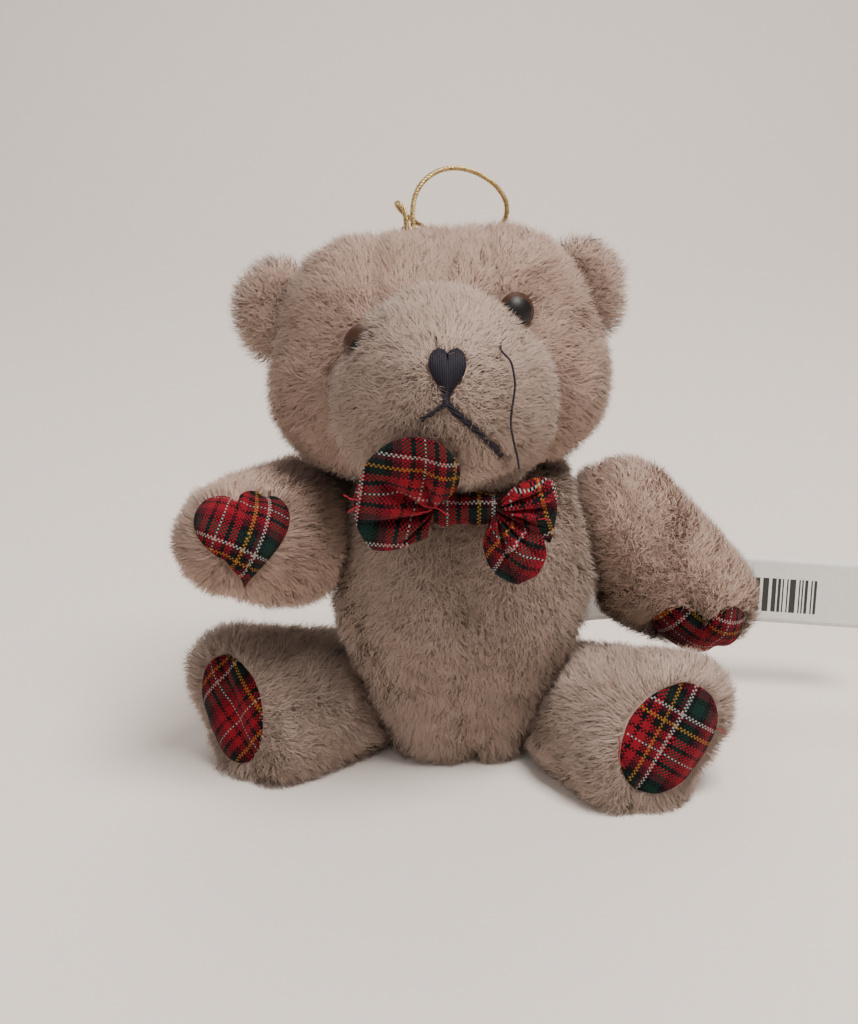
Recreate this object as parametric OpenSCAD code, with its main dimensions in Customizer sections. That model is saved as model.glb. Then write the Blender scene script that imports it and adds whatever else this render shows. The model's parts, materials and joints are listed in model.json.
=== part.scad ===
// A small five-way jointed plush bear with a tartan bow and a hanging loop.
// It sits facing -Y, its left side is +X, and the origin is on the flat seat at z = 0.

/* [Torso] */
// Radius of the belly, the widest part of the torso
belly_r = 19.3; // [17:0.1:20]
// Height of the belly's centre above the seat
belly_z = 32; // [30:0.5:34]
// Half the sideways spread of the belly
belly_spread = 4.2; // [3:0.1:5]
// Radius of the rounded bottom
seat_r = 11.2; // [10:0.1:12]
// How far the bottom is flattened where it rests
seat_flat = 1.5; // [1:0.1:2]
// Radius of the chest under the neck
chest_r = 13.5; // [12.5:0.1:14]
// Height of the chest's centre above the seat
chest_z = 45.5; // [44:0.5:47]
// Half the sideways spread of the chest
chest_spread = 9; // [8:0.5:10]

/* [Head] */
// Height of the neck joint above the seat
neck_z = 57; // [56:0.5:59]
// Sideways tilt of the head, with the left ear up
head_roll = 4; // [0:1:8]
// Radius of the cheeks
cheek_r = 14; // [13:0.1:15]
// Half the distance between the cheeks' centres
cheek_spread = 14; // [12:0.5:15]
// Radius of the top of the head
crown_r = 13.5; // [12:0.1:14.5]
// Radius of the muzzle's main dome
muzzle_r = 14; // [12:0.1:15]
// Radius of an ear's rim
ear_r = 7.6; // [6:0.1:9]
// Thickness of an ear
ear_t = 5; // [4:0.1:6]
// Radius of a plastic eye
eye_r = 3; // [2.5:0.1:3.5]

/* [Arms] */
// Distance of the shoulder joint from the middle
shoulder_x = 20.5; // [20:0.1:21.5]
// Height of the shoulder joint above the seat
shoulder_z = 44.5; // [43:0.5:46]
// Upward tilt of the shoulder joint's axis
shoulder_tilt = 15; // [10:1:20]
// Forward swing of the left arm at rest
left_arm_swing = 3; // [0:1:90]
// Forward swing of the right arm at rest
right_arm_swing = 84; // [40:1:90]
// Radius of the shoulder
arm_r = 9.6; // [9:0.1:10.3]
// Radius of the elbow
elbow_r = 10.2; // [9:0.1:11]
// Radius of the paw
paw_r = 9; // [8.5:0.1:10]

/* [Legs] */
// Distance of the left hip joint from the middle
left_hip_x = 12.5; // [12:0.1:13.5]
// Distance of the right hip joint from the middle
right_hip_x = 11; // [10.5:0.1:12]
// Height of the hip joint above the seat
hip_z = 14; // [13.5:0.1:15]
// Downward tilt of the hip joint's axis
hip_tilt = 22; // [18:1:26]
// Upward swing of the left leg at rest
left_leg_lift = 13; // [10:1:15]
// Upward swing of the right leg at rest
right_leg_lift = 12; // [10:1:15]
// Outward turn of the left leg
left_leg_turn = 4; // [0:1:10]
// Outward turn of the right leg
right_leg_turn = 26; // [20:1:30]
// Radius of the thigh
thigh_r = 10.3; // [9.5:0.1:10.5]
// Distance from the hip to the flat sole
sole_d = 27.5; // [26:0.5:29]

/* [Fabric] */
// Thickness of the plush
cloth_t = 1.2; // [0.8:0.1:1.6]
// Thickness of the tartan pads
pad_t = 0.6; // [0.4:0.1:0.9]
// Gap between a limb or the head and the torso
joint_gap = 0.3; // [0.2:0.05:0.5]
// Width of the care label's tape
label_w = 13; // [10:0.5:15]

/* [Joint hardware] */
// Radius of a limb joint's disc
disc_r = 4.8; // [4:0.1:5]
// Radius of the neck joint's disc
neck_disc_r = 5.5; // [5:0.1:6]
// Thickness of a disc or a washer
disc_t = 1.2; // [1:0.1:1.5]
// Radius of a joint's pin
pin_r = 1.8; // [1.5:0.1:2]
// Clearance between a pin and the hole in its washer
pin_play = 0.08; // [0.05:0.01:0.1]

/* [Hidden] */

LEFT = 1;
RIGHT = -1;
round_fn = 48;   // circles and spheres that stay exact
hull_fn = 24;    // spheres inside a hull
big = 60;        // larger than the whole bear

torso_y = -2;
seat_y = -3;
chest_y = -3.5;
seat_spread = 4;
seat_z = seat_r - seat_flat;
shoulder_y = -1;
left_hip_y = -4;
right_hip_y = -5.5; // before it is turned outward with its leg
neck_x = -3.2;
neck_y = -4;
head_up = 18;    // from the neck joint to the head's centre
lock_r = 3.2;
lock_t = 1;
pocket_r = disc_r + 0.3;
neck_pocket_r = neck_disc_r + 0.3;
stud_in = cloth_t + joint_gap / 2;           // depth of a stud's disc in its limb
washer_in = stud_in;                         // depth of a washer in the torso
lock_in = washer_in + disc_t + 0.1;
pin_in = lock_in + lock_t + 0.6;             // depth of a pin's tip in the torso

plush = "tan";
light_plush = "wheat";
tartan = "firebrick";

// ---- Frames ------------------------------------------------------------------------

module mirror_to(side) {
  if (side == RIGHT) {
    mirror([1, 0, 0]) children();
  } else {
    children();
  }
}

// +X is the shoulder's axis outward, -Z runs down the arm, -Y is its front
module at_shoulder(side, swing) {
  mirror_to(side)
    translate([shoulder_x, shoulder_y, shoulder_z])
      rotate([0, -shoulder_tilt, 0])
        rotate([-swing, 0, 0])
          children();
}

// +X is the hip's axis outward, -Y runs down the leg, +Z is the top of the foot
module at_hip(side, lift) {
  mirror_to(side)
    translate([0, torso_y, hip_z])
      rotate([0, 0, side == LEFT ? left_leg_turn : right_leg_turn])
        translate(side == LEFT ? [left_hip_x, left_hip_y - torso_y, 0] : [right_hip_x, right_hip_y - torso_y, 0])
          rotate([0, hip_tilt, 0])
            rotate([-lift, 0, 0])
              children();
}

// +Z is the neck's axis, and the origin is in the middle of the joint's gap
module at_neck() {
  translate([neck_x, neck_y, neck_z])
    rotate([0, -head_roll, 0])
      children();
}

module at_head() {
  at_neck()
    translate([0, 0, head_up])
      children();
}

// A joint's own frame, +Z out of the torso, at a limb or at the neck
module limb_axis() {
  rotate([0, 90, 0]) children();
}

module ball(at, r) {
  translate(at) sphere(r = r, $fn = hull_fn);
}

// ---- Outer and inner forms of the stuffed parts ------------------------------------

// Everything beyond the joint plane, which a form is cut back from
module beyond(inset) {
  translate([-joint_gap / 2 - inset, -big, -big])
    cube([big, 2 * big, 2 * big]);
}

module torso_blank(inset) {
  hull() {
    for (s = [-1, 1]) {
      ball([s * belly_spread, torso_y, belly_z], belly_r - inset);
      ball([s * seat_spread, seat_y, seat_z], seat_r - inset);
      ball([s * chest_spread, chest_y, chest_z], chest_r - inset);
    }
  }
}

module torso_form(inset) {
  difference() {
    torso_blank(inset);
    translate([-big, -big, inset - 2 * big])
      cube(2 * big);
    at_neck()
      translate([-big, -big, -joint_gap / 2 - inset])
        cube(2 * big);
    for (side = [LEFT, RIGHT]) {
      at_shoulder(side, 0) beyond(inset);
      at_hip(side, 0) beyond(inset);
    }
  }
}

module head_blank(inset) {
  hull() {
    for (s = [-1, 1]) {
      ball([s * cheek_spread, 0, -4], cheek_r - inset);
      ball([s * 11, 1, 7], crown_r - inset);
    }
    ball([0, -3, -4], 16.5 - inset);
    ball([0, 4, -1], 17.5 - inset);
  }
}

module muzzle_blank(inset) {
  hull() {
    ball([-3.5, -14, -3.8], muzzle_r - inset);
    ball([4.5, -14, -3.8], muzzle_r - inset);
    ball([0.5, -14, -1], muzzle_r + 1.5 - inset);
    ball([0.5, -18, -2], muzzle_r - inset);
  }
}

// Everything of the head above the neck's joint plane
module above_neck(inset) {
  translate([-big, -big, joint_gap / 2 + inset - head_up])
    cube(2 * big);
}

module head_form(inset) {
  intersection() {
    head_blank(inset);
    above_neck(inset);
  }
}

module muzzle_form(inset) {
  intersection() {
    muzzle_blank(inset);
    above_neck(inset);
  }
}

// Everything of a limb outside its joint plane
module outside_joint(inset) {
  translate([joint_gap / 2 + inset, -big, -big])
    cube([big, 2 * big, 2 * big]);
}

paw_at = [18, -1, -18.5];

module arm_form(inset) {
  intersection() {
    hull() {
      ball([7.5, 0, 0], arm_r - inset);
      ball([9.5, 1, -11], elbow_r - 0.2 - inset);
      ball([10.5, 0, -9], elbow_r - inset);
      ball(paw_at, paw_r - inset);
    }
    outside_joint(inset);
  }
}

toe_at = [18.5, -22, 8.5];
heel_at = [15, -22.5, -3.5];

module leg_form(inset) {
  intersection() {
    hull() {
      ball([7.5, 0, 0], thigh_r - inset);
      ball([8, -10, 0], thigh_r + 0.2 - inset);
      ball(toe_at, 8.7 - inset);
      ball(heel_at, 9.5 - inset);
    }
    outside_joint(inset);
    translate([-big, inset - sole_d, -big])
      cube(2 * big);
  }
}

// ---- Joint hardware, drawn with +Z out of the torso --------------------------------

module stud(disc) {
  color("ivory") {
    translate([0, 0, stud_in])
      cylinder(r = disc, h = disc_t, $fn = round_fn);
    translate([0, 0, -pin_in])
      cylinder(r = pin_r, h = pin_in + stud_in + 0.01, $fn = round_fn);
  }
}

module ring(r_out, r_in, depth, t) {
  translate([0, 0, -depth - t])
    difference() {
      cylinder(r = r_out, h = t, $fn = round_fn);
      translate([0, 0, -1])
        cylinder(r = r_in, h = t + 2, $fn = round_fn);
    }
}

module washer(disc) {
  color("ivory") ring(disc, pin_r + pin_play, washer_in, disc_t);
}

module lock() {
  color("silver") ring(lock_r, pin_r, lock_in, lock_t);
}

// Hole through a skin for a pin
module pin_hole() {
  translate([0, 0, -4])
    cylinder(r = pin_r + pin_play, h = 8, $fn = round_fn);
}

// Room in a limb's stuffing for its stud
module stud_pocket(disc) {
  translate([0, 0, -1])
    cylinder(r = disc + 0.3, h = 1 + stud_in + disc_t + 0.2, $fn = round_fn);
}

// Room in the torso's stuffing for a washer, its lock and the pin's tip
module washer_pocket(r) {
  translate([0, 0, -pin_in - 0.4])
    cylinder(r = r, h = pin_in + 2, $fn = round_fn);
}

module at_torso_joints() {
  for (side = [LEFT, RIGHT]) {
    at_shoulder(side, 0) limb_axis() children();
    at_hip(side, 0) limb_axis() children();
  }
}

// ---- Torso -------------------------------------------------------------------------

module torso_skin() {
  color(plush)
    difference() {
      torso_form(0);
      torso_form(cloth_t);
      at_torso_joints() pin_hole();
      at_neck() pin_hole();
    }
}

module torso_stuffing() {
  color("white")
    difference() {
      torso_form(cloth_t);
      at_torso_joints() washer_pocket(pocket_r);
      at_neck() washer_pocket(neck_pocket_r);
    }
}

module neck_washer() { at_neck() washer(neck_disc_r); }
module left_shoulder_washer() { at_shoulder(LEFT, 0) limb_axis() washer(disc_r); }
module right_shoulder_washer() { at_shoulder(RIGHT, 0) limb_axis() washer(disc_r); }
module left_hip_washer() { at_hip(LEFT, 0) limb_axis() washer(disc_r); }
module right_hip_washer() { at_hip(RIGHT, 0) limb_axis() washer(disc_r); }

// ---- Bow and label -----------------------------------------------------------------

bow_at = [-0.5, -24, 55.5];

module bow_left_loop() {
  color(tartan)
    translate(bow_at)
      hull() {
        ball([-5.5, -3, 0.5], 1.9);
        ball([-8, -7.8, 4.1], 2.2);
        ball([-13, -7.8, 4.2], 2.4);
        ball([-14.2, -3.5, -3], 2.3);
        ball([-8, -3.5, -2.6], 2.2);
      }
}

module bow_right_loop() {
  color(tartan)
    translate(bow_at) {
      hull() {
        ball([6.6, -2.8, 0.5], 1.9);
        ball([12.3, -3.6, 2.6], 1.9);
        ball([12.3, -4, -2.5], 2.1);
      }
      hull() {
        ball([6.6, -2.8, 0.5], 1.9);
        ball([11.4, -3.2, -5.8], 2);
        ball([6.6, -3, -8], 2.1);
        ball([12.3, -4, -2.5], 2.1);
      }
    }
}

module bow_knot() {
  color(tartan)
    translate(bow_at)
      hull() {
        ball([-3.4, -3.2, 0.2], 2.4);
        ball([4.3, -3, 0], 2.4);
        ball([-2, 8.6, -2.4], 1.8);
        ball([2, 8.6, -2.4], 1.8);
      }
}

label_z = 25.7;
label_run = [[12.5, 13.4], [21, 16.2], [33, 18.6], [47, 19.2], [61, 18], [77, 15.5]];

module care_label() {
  color("whitesmoke")
    translate([0, 0, label_z - label_w / 2])
      linear_extrude(height = label_w)
        polygon(concat(
          [for (p = label_run) p - [0, 0.5]],
          [for (i = [len(label_run) - 1:-1:0]) label_run[i] + [0, 0.5]]
        ));
}

// ---- Head --------------------------------------------------------------------------

// Each eye's place in the head's frame, and the way it faces
left_eye_at = [12.8, -13.2, 9.6];
left_eye_yaw = 28;
right_eye_at = [-11.6, -17.6, 6.9];
right_eye_yaw = -30;
eye_pitch = 78;
eye_sink = 0.6;          // how far a dome's centre is below its flat back
eye_stem_r = 0.9;
eye_stem_l = 6.4;
eye_washer_r = 2.2;
eye_washer_t = 0.8;
eye_washer_in = 4.9;     // depth of a washer's front under the dome

module at_eye(at, yaw) {
  at_head()
    translate(at)
      rotate([0, 0, yaw])
        rotate([eye_pitch, 0, 0])
          children();
}

module eye(at, yaw) {
  at_eye(at, yaw) {
    color("saddlebrown")
      intersection() {
        translate([0, 0, -eye_sink])
          sphere(r = eye_r, $fn = round_fn);
        translate([0, 0, big / 2])
          cube(big, center = true);
      }
    color("black")
      translate([0, 0, -eye_stem_l])
        cylinder(r = eye_stem_r, h = eye_stem_l + 0.01, $fn = round_fn);
  }
}

module eye_stem_hole(at, yaw) {
  at_eye(at, yaw)
    translate([0, 0, -8])
      cylinder(r = eye_stem_r + 0.1, h = 12, $fn = round_fn);
}

module eye_washer(at, yaw) {
  color("ivory")
    at_eye(at, yaw)
      ring(eye_washer_r, eye_stem_r, eye_washer_in, eye_washer_t);
}

module eye_washer_pocket(at, yaw) {
  at_eye(at, yaw)
    translate([0, 0, -8])
      cylinder(r = eye_washer_r + 0.2, h = 12, $fn = round_fn);
}

module left_eye() { eye(left_eye_at, left_eye_yaw); }
module right_eye() { eye(right_eye_at, right_eye_yaw); }
module left_eye_washer() { eye_washer(left_eye_at, left_eye_yaw); }
module right_eye_washer() { eye_washer(right_eye_at, right_eye_yaw); }

module head_skin() {
  color(plush)
    difference() {
      at_head()
        difference() {
          head_form(0);
          head_form(cloth_t);
          muzzle_form(cloth_t);
        }
      at_neck() pin_hole();
      eye_stem_hole(left_eye_at, left_eye_yaw);
      eye_stem_hole(right_eye_at, right_eye_yaw);
    }
}

module muzzle_panel() {
  color(light_plush)
    difference() {
      at_head()
        difference() {
          muzzle_form(0);
          muzzle_form(cloth_t);
          head_form(0);
        }
      eye_stem_hole(left_eye_at, left_eye_yaw);
      eye_stem_hole(right_eye_at, right_eye_yaw);
    }
}

module head_stuffing() {
  color("white")
    difference() {
      at_head() {
        head_form(cloth_t);
        muzzle_form(cloth_t);
      }
      at_neck() stud_pocket(neck_disc_r);
      eye_washer_pocket(left_eye_at, left_eye_yaw);
      eye_washer_pocket(right_eye_at, right_eye_yaw);
    }
}

ear_at = [25.2, 4, 8.5];
ear_shift = -0.8;

module ear(side, lean) {
  color(plush)
    difference() {
      at_head()
        translate([side * ear_at[0] + ear_shift, ear_at[1], ear_at[2]])
          rotate([0, lean, 0])
            hull() {
              for (a = [0:45:315]) {
                ball([(ear_r - 2) * cos(a), 0, 1.3 * (ear_r - 2) * sin(a)], 2);
              }
              for (y = [-1, 1]) {
                ball([0, y * (ear_t / 2 - 2), 0], 2);
              }
            }
      at_head() head_blank(0);
    }
}

module left_ear() { ear(LEFT, 4); }
module right_ear() { ear(RIGHT, -4); }

// A heart w wide and h high, with its notch at the top
function heart(w, h) = [
  for (t = [0:9:351]) [
    w / 32 * 16 * pow(sin(t), 3),
    h / 29 * (13 * cos(t) - 5 * cos(2 * t) - 2 * cos(3 * t) - cos(4 * t))
  ]
];

module nose() {
  color("black")
    at_head()
      translate([0.5, -18, -2])
        rotate([0, 0, 5])
          rotate([62, 0, 0])
            translate([0, 0, muzzle_r - 0.9])
              linear_extrude(height = 1.6)
                polygon(heart(5.6, 7));
}

// Stitches on the muzzle's surface, from one place to the next
mouth_top = [1, -31.6, 1.2];
mouth_left = [[1, -31.8, 0.4], [-2.9, -31.5, -2.2]];
mouth_right = [[1, -31.8, 0.4], [3.6, -31.5, -2.8], [6.3, -30, -6], [8.9, -26.2, -10.1]];

module stitches(route, r) {
  for (i = [0:len(route) - 2]) {
    hull() {
      ball(route[i], r);
      ball(route[i + 1], r);
    }
  }
}

module mouth() {
  color("black")
    at_head() {
      stitches([mouth_top, mouth_left[0]], 0.4);
      stitches(mouth_left, 0.35);
      stitches(mouth_right, 0.45);
    }
}

// ---- Cords -------------------------------------------------------------------------

loop_d = 0.8;
loop_route = [
  [-8.6, 0, 95.8], [-8.7, 0.1, 98], [-8.6, 0.3, 100], [-7.9, 0.7, 102.3], [-6.2, 1.2, 104.3],
  [-3.8, 1.8, 105.5], [-1, 2.4, 105.7], [2, 3.3, 104.8], [5, 4.5, 102.8], [6.9, 6, 100],
  [7.1, 7.6, 97.2], [5.6, 9.2, 94.9], [2.4, 10.4, 93.7], [-0.8, 10.8, 93.3], [-3.8, 10.2, 93.9],
  [-6.6, 8.8, 95.2], [-9, 6.8, 96.8], [-10.6, 4.6, 98.4], [-11.3, 2.6, 99.6],
  [-11.2, 1, 100.2], [-10.5, 0, 99.9], [-10, -0.3, 98.8], [-9.8, -0.3, 97.4], [-9.7, -0.2, 95.8]
];
thread_d = 0.4;
thread_route = [
  [9.7, -19.5, 82.1], [8.2, -20.9, 83.7], [6.4, -22.6, 84.5], [5.5, -25.2, 83.9], [4.9, -28, 82.9],
  [4.8, -30.3, 81.9], [5.4, -31.2, 81.3],
  [6.2, -31.8, 80.4], [6.6, -32.6, 78.9], [6.8, -33.2, 77.2], [6.6, -33.9, 75.4], [6.3, -34.4, 73.4],
  [6.2, -34.7, 71.4], [6.5, -34.9, 69.6], [6.9, -35, 67.9], [7.3, -35, 66.3], [7.5, -34.9, 64.7]
];

function unit(v) = v / norm(v);

// A point on the smooth curve through four neighbours, t from 0 to 1 between the middle two
function smooth(p, q, r, s, t) =
  q + t / 2 * (r - p)
  + t * t / 2 * (2 * p - 5 * q + 4 * r - s)
  + t * t * t / 2 * (3 * q - 3 * r + s - p);

function refined(route, steps) = [
  for (i = [0:len(route) - 2])
    for (k = [0:steps - 1])
      smooth(route[max(i - 1, 0)], route[i], route[i + 1],
             route[min(i + 2, len(route) - 1)], k / steps),
  route[len(route) - 1]
];

// A round tube along a route that never runs along the side vector
module tube(route, d, side_vector, steps) {
  path = refined(route, steps);
  n = len(path);
  sides = 8;
  rings = [
    for (i = [0:n - 1])
      let (
        along = unit(path[min(i + 1, n - 1)] - path[max(i - 1, 0)]),
        u = unit(cross(along, side_vector)),
        v = cross(along, u)
      )
      for (k = [0:sides - 1])
        path[i] + d / 2 * (cos(k * 360 / sides) * u + sin(k * 360 / sides) * v)
  ];
  polyhedron(
    points = rings,
    faces = concat(
      [[for (k = [0:sides - 1]) k]],
      [for (i = [0:n - 2], k = [0:sides - 1])
        [i * sides + k, (i + 1) * sides + k,
         (i + 1) * sides + (k + 1) % sides, i * sides + (k + 1) % sides]],
      [[for (k = [sides - 1:-1:0]) (n - 1) * sides + k]]
    )
  );
}

module hanging_loop() {
  color("gold") tube(loop_route, loop_d, [-0.42, 0.9, 0.14], 2);
}

module loop_knot() {
  color("gold")
    translate([-9.2, -0.1, 95.6])
      sphere(r = 1.3, $fn = round_fn);
}

module loose_thread() {
  color("black") tube(thread_route, thread_d, [1, 0, 0], 2);
}

module neck_stud() { at_neck() stud(neck_disc_r); }
module neck_lock() { at_neck() lock(); }

// ---- Arms --------------------------------------------------------------------------

pad_yaw = -24;     // the paw pad faces down and forward of the paw's middle
pad_pitch = 145;
pad_spin = -55;    // turns the heart's notch towards the elbow
paw_pad_w = 14.5;
paw_pad_h = 16;

module arm_skin(side, swing) {
  color(plush)
    at_shoulder(side, swing)
      difference() {
        arm_form(0);
        arm_form(cloth_t);
        limb_axis() pin_hole();
      }
}

module arm_stuffing(side, swing) {
  color("white")
    at_shoulder(side, swing)
      difference() {
        arm_form(cloth_t);
        limb_axis() stud_pocket(disc_r);
      }
}

// A heart-shaped patch that follows the round paw, clear of the stuffing
module paw_pad(side, swing) {
  color(tartan)
    at_shoulder(side, swing)
      difference() {
        translate(paw_at)
          rotate([0, 0, pad_yaw])
            rotate([pad_pitch, 0, 0])
              intersection() {
                difference() {
                  hull() ball([0, 0, 0], paw_r + pad_t);
                  hull() ball([0, 0, 0], paw_r);
                }
                rotate([0, 0, pad_spin])
                  linear_extrude(height = paw_r + 2)
                    polygon(heart(paw_pad_w, paw_pad_h));
              }
        arm_form(cloth_t / 2);
      }
}

module left_arm_skin() { arm_skin(LEFT, left_arm_swing); }
module left_arm_stuffing() { arm_stuffing(LEFT, left_arm_swing); }
module left_paw_pad() { paw_pad(LEFT, left_arm_swing); }
module left_arm_stud() { at_shoulder(LEFT, left_arm_swing) limb_axis() stud(disc_r); }
module left_arm_lock() { at_shoulder(LEFT, left_arm_swing) limb_axis() lock(); }

module right_arm_skin() { arm_skin(RIGHT, right_arm_swing); }
module right_arm_stuffing() { arm_stuffing(RIGHT, right_arm_swing); }
module right_paw_pad() { paw_pad(RIGHT, right_arm_swing); }
module right_arm_stud() { at_shoulder(RIGHT, right_arm_swing) limb_axis() stud(disc_r); }
module right_arm_lock() { at_shoulder(RIGHT, right_arm_swing) limb_axis() lock(); }

// ---- Legs --------------------------------------------------------------------------

foot_pad_at = [17, 3.3];
foot_pad_w = 14.4;
foot_pad_h = 20;
foot_pad_lean = 16;

module leg_skin(side, lift) {
  color(light_plush)
    at_hip(side, lift)
      difference() {
        leg_form(0);
        leg_form(cloth_t);
        limb_axis() pin_hole();
      }
}

module leg_stuffing(side, lift) {
  color("white")
    at_hip(side, lift)
      difference() {
        leg_form(cloth_t);
        limb_axis() stud_pocket(disc_r);
      }
}

// An oval patch on the flat sole
module foot_pad(side, lift) {
  color(tartan)
    at_hip(side, lift)
      translate([foot_pad_at[0], -sole_d, foot_pad_at[1]])
        rotate([90, 0, 0])
          rotate([0, 0, -foot_pad_lean])
            linear_extrude(height = pad_t)
              polygon([
                for (t = [0:9:351]) [foot_pad_w / 2 * cos(t), foot_pad_h / 2 * sin(t)]
              ]);
}

module left_leg_skin() { leg_skin(LEFT, left_leg_lift); }
module left_leg_stuffing() { leg_stuffing(LEFT, left_leg_lift); }
module left_foot_pad() { foot_pad(LEFT, left_leg_lift); }
module left_leg_stud() { at_hip(LEFT, left_leg_lift) limb_axis() stud(disc_r); }
module left_leg_lock() { at_hip(LEFT, left_leg_lift) limb_axis() lock(); }

module right_leg_skin() { leg_skin(RIGHT, right_leg_lift); }
module right_leg_stuffing() { leg_stuffing(RIGHT, right_leg_lift); }
module right_foot_pad() { foot_pad(RIGHT, right_leg_lift); }
module right_leg_stud() { at_hip(RIGHT, right_leg_lift) limb_axis() stud(disc_r); }
module right_leg_lock() { at_hip(RIGHT, right_leg_lift) limb_axis() lock(); }

torso_skin();
torso_stuffing();
neck_washer();
left_shoulder_washer();
right_shoulder_washer();
left_hip_washer();
right_hip_washer();
bow_left_loop();
bow_right_loop();
bow_knot();
care_label();
head_skin();
head_stuffing();
muzzle_panel();
left_ear();
right_ear();
left_eye();
right_eye();
left_eye_washer();
right_eye_washer();
nose();
mouth();
hanging_loop();
loop_knot();
loose_thread();
neck_stud();
neck_lock();
left_arm_skin();
left_arm_stuffing();
left_paw_pad();
left_arm_stud();
left_arm_lock();
right_arm_skin();
right_arm_stuffing();
right_paw_pad();
right_arm_stud();
right_arm_lock();
left_leg_skin();
left_leg_stuffing();
left_foot_pad();
left_leg_stud();
left_leg_lock();
right_leg_skin();
right_leg_stuffing();
right_foot_pad();
right_leg_stud();
right_leg_lock();
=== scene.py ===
import json
import math

import bmesh
import bpy
import numpy as np
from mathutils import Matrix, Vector
from mathutils.bvhtree import BVHTree
from mathutils.kdtree import KDTree


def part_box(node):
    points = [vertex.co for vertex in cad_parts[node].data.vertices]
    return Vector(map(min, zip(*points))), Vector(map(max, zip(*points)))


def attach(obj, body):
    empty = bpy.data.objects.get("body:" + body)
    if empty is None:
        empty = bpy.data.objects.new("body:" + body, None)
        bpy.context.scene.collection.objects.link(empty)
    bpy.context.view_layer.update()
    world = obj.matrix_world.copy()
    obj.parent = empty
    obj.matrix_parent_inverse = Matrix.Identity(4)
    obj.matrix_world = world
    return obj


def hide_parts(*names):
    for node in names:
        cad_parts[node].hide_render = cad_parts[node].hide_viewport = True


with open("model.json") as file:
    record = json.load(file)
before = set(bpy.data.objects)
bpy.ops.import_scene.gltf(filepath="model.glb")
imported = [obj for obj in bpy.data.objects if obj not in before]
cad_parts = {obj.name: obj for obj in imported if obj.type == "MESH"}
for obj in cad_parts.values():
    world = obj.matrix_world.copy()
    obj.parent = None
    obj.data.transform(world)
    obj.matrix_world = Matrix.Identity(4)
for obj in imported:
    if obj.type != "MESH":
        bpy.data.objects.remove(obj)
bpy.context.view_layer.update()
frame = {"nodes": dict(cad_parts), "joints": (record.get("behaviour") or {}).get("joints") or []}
NODES = frame["nodes"]
JOINTS = {joint["name"]: joint for joint in frame["joints"]}
MM = 0.001
UP = np.array([0.0, 0.0, 1.0])


# ---- Vectors and numbers

def unit(v):
    """A vector, or each row of an array of vectors, at length 1."""
    v = np.asarray(v, float)
    return v / np.maximum(np.linalg.norm(v, axis=-1, keepdims=True), 1e-12)


def turned(v, axis, angle):
    """Vectors turned about unit axes by angles in radians, row by row."""
    c = np.cos(angle)[:, None]
    s = np.sin(angle)[:, None]
    along = (v * axis).sum(1, keepdims=True)
    return v * c + np.cross(axis, v) * s + axis * along * (1 - c)


def across(v, normal):
    """The unit vectors that lie across normals, closest to the given ones, row by row."""
    return unit(v - normal * (v * normal).sum(1, keepdims=True))


def smooth_field(points, wavelength, seed):
    """A smooth value from -1 to 1 at each point, the same on every run."""
    rng = np.random.default_rng(seed)
    waves = unit(rng.normal(size=(7, 3))) * rng.uniform(0.7, 1.5, (7, 1))
    phases = rng.uniform(0, 2 * math.pi, 7)
    return np.sin(points @ waves.T * 2 * math.pi / wavelength + phases).sum(1) / 4


def box_of(node):
    """Lowest and highest corners of a CAD node, as arrays."""
    low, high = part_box(node)
    return np.array(low), np.array(high)


def middle(node):
    low, high = box_of(node)
    return (low + high) / 2


def joint_out(name, node):
    """A joint's point, and its axis turned to point from the torso to the moving node."""
    point = np.array(JOINTS[name]["pos_m"])
    axis = unit(JOINTS[name]["axis"])
    return point, axis * np.sign((middle(node) - point) @ axis)


SKIN_OF = {"head_turn": "head_skin", "left_shoulder": "left_arm_skin", "right_shoulder": "right_arm_skin",
           "left_hip": "left_leg_skin", "right_hip": "right_leg_skin"}
PLANES = {name: joint_out(name, node) for name, node in SKIN_OF.items()}
NECK, HEAD_UP = PLANES["head_turn"]
HEAD = NECK + 18 * MM * HEAD_UP       # the middle of the head, above its joint
HEAD_X = unit(np.cross([0, 1, 0], HEAD_UP))


def joint_planes(body):
    """The point and outward direction of each flat face where a body meets another at a joint."""
    for name, (point, out) in PLANES.items():
        if body in ("torso", JOINTS[name]["child"]):
            yield point, out if body == "torso" else -out


def in_head(x, y, z):
    """A point given in millimetres in the tilted head's own frame."""
    return HEAD + MM * (x * HEAD_X + y * np.array([0, 1, 0]) + z * HEAD_UP)


# ---- Meshes

def coordinates(mesh, what="co"):
    values = np.empty(len(mesh.vertices) * 3, np.float32)
    mesh.vertices.foreach_get(what, values)
    return values.reshape(-1, 3).astype(float)


def set_coordinates(mesh, co):
    mesh.vertices.foreach_set("co", np.asarray(co, np.float32).ravel())
    mesh.update()


def vertex_normals(mesh):
    return unit(coordinates(mesh, "normal"))


def add_object(name, mesh):
    obj = bpy.data.objects.new(name, mesh)
    bpy.context.scene.collection.objects.link(obj)
    return obj


def mesh_from(name, points, faces):
    mesh = bpy.data.meshes.new(name)
    mesh.from_pydata([tuple(p) for p in points], [], faces)
    mesh.update()
    mesh.shade_smooth()
    return mesh


def applied(obj):
    """Replaces an object's mesh by what its modifiers make of it."""
    graph = bpy.context.evaluated_depsgraph_get()
    mesh = bpy.data.meshes.new_from_object(obj.evaluated_get(graph))
    obj.modifiers.clear()
    obj.data = mesh
    mesh.shade_smooth()


def tree(obj):
    graph = bpy.context.evaluated_depsgraph_get()
    return BVHTree.FromObject(obj, graph)


def give(obj, body, materials, replaced=()):
    """Puts a finished piece on its body and materials."""
    obj.data.materials.clear()
    for material in materials:
        obj.data.materials.append(material)
    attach(obj, body)
    if replaced:
        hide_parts(*replaced)
    return obj


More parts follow.
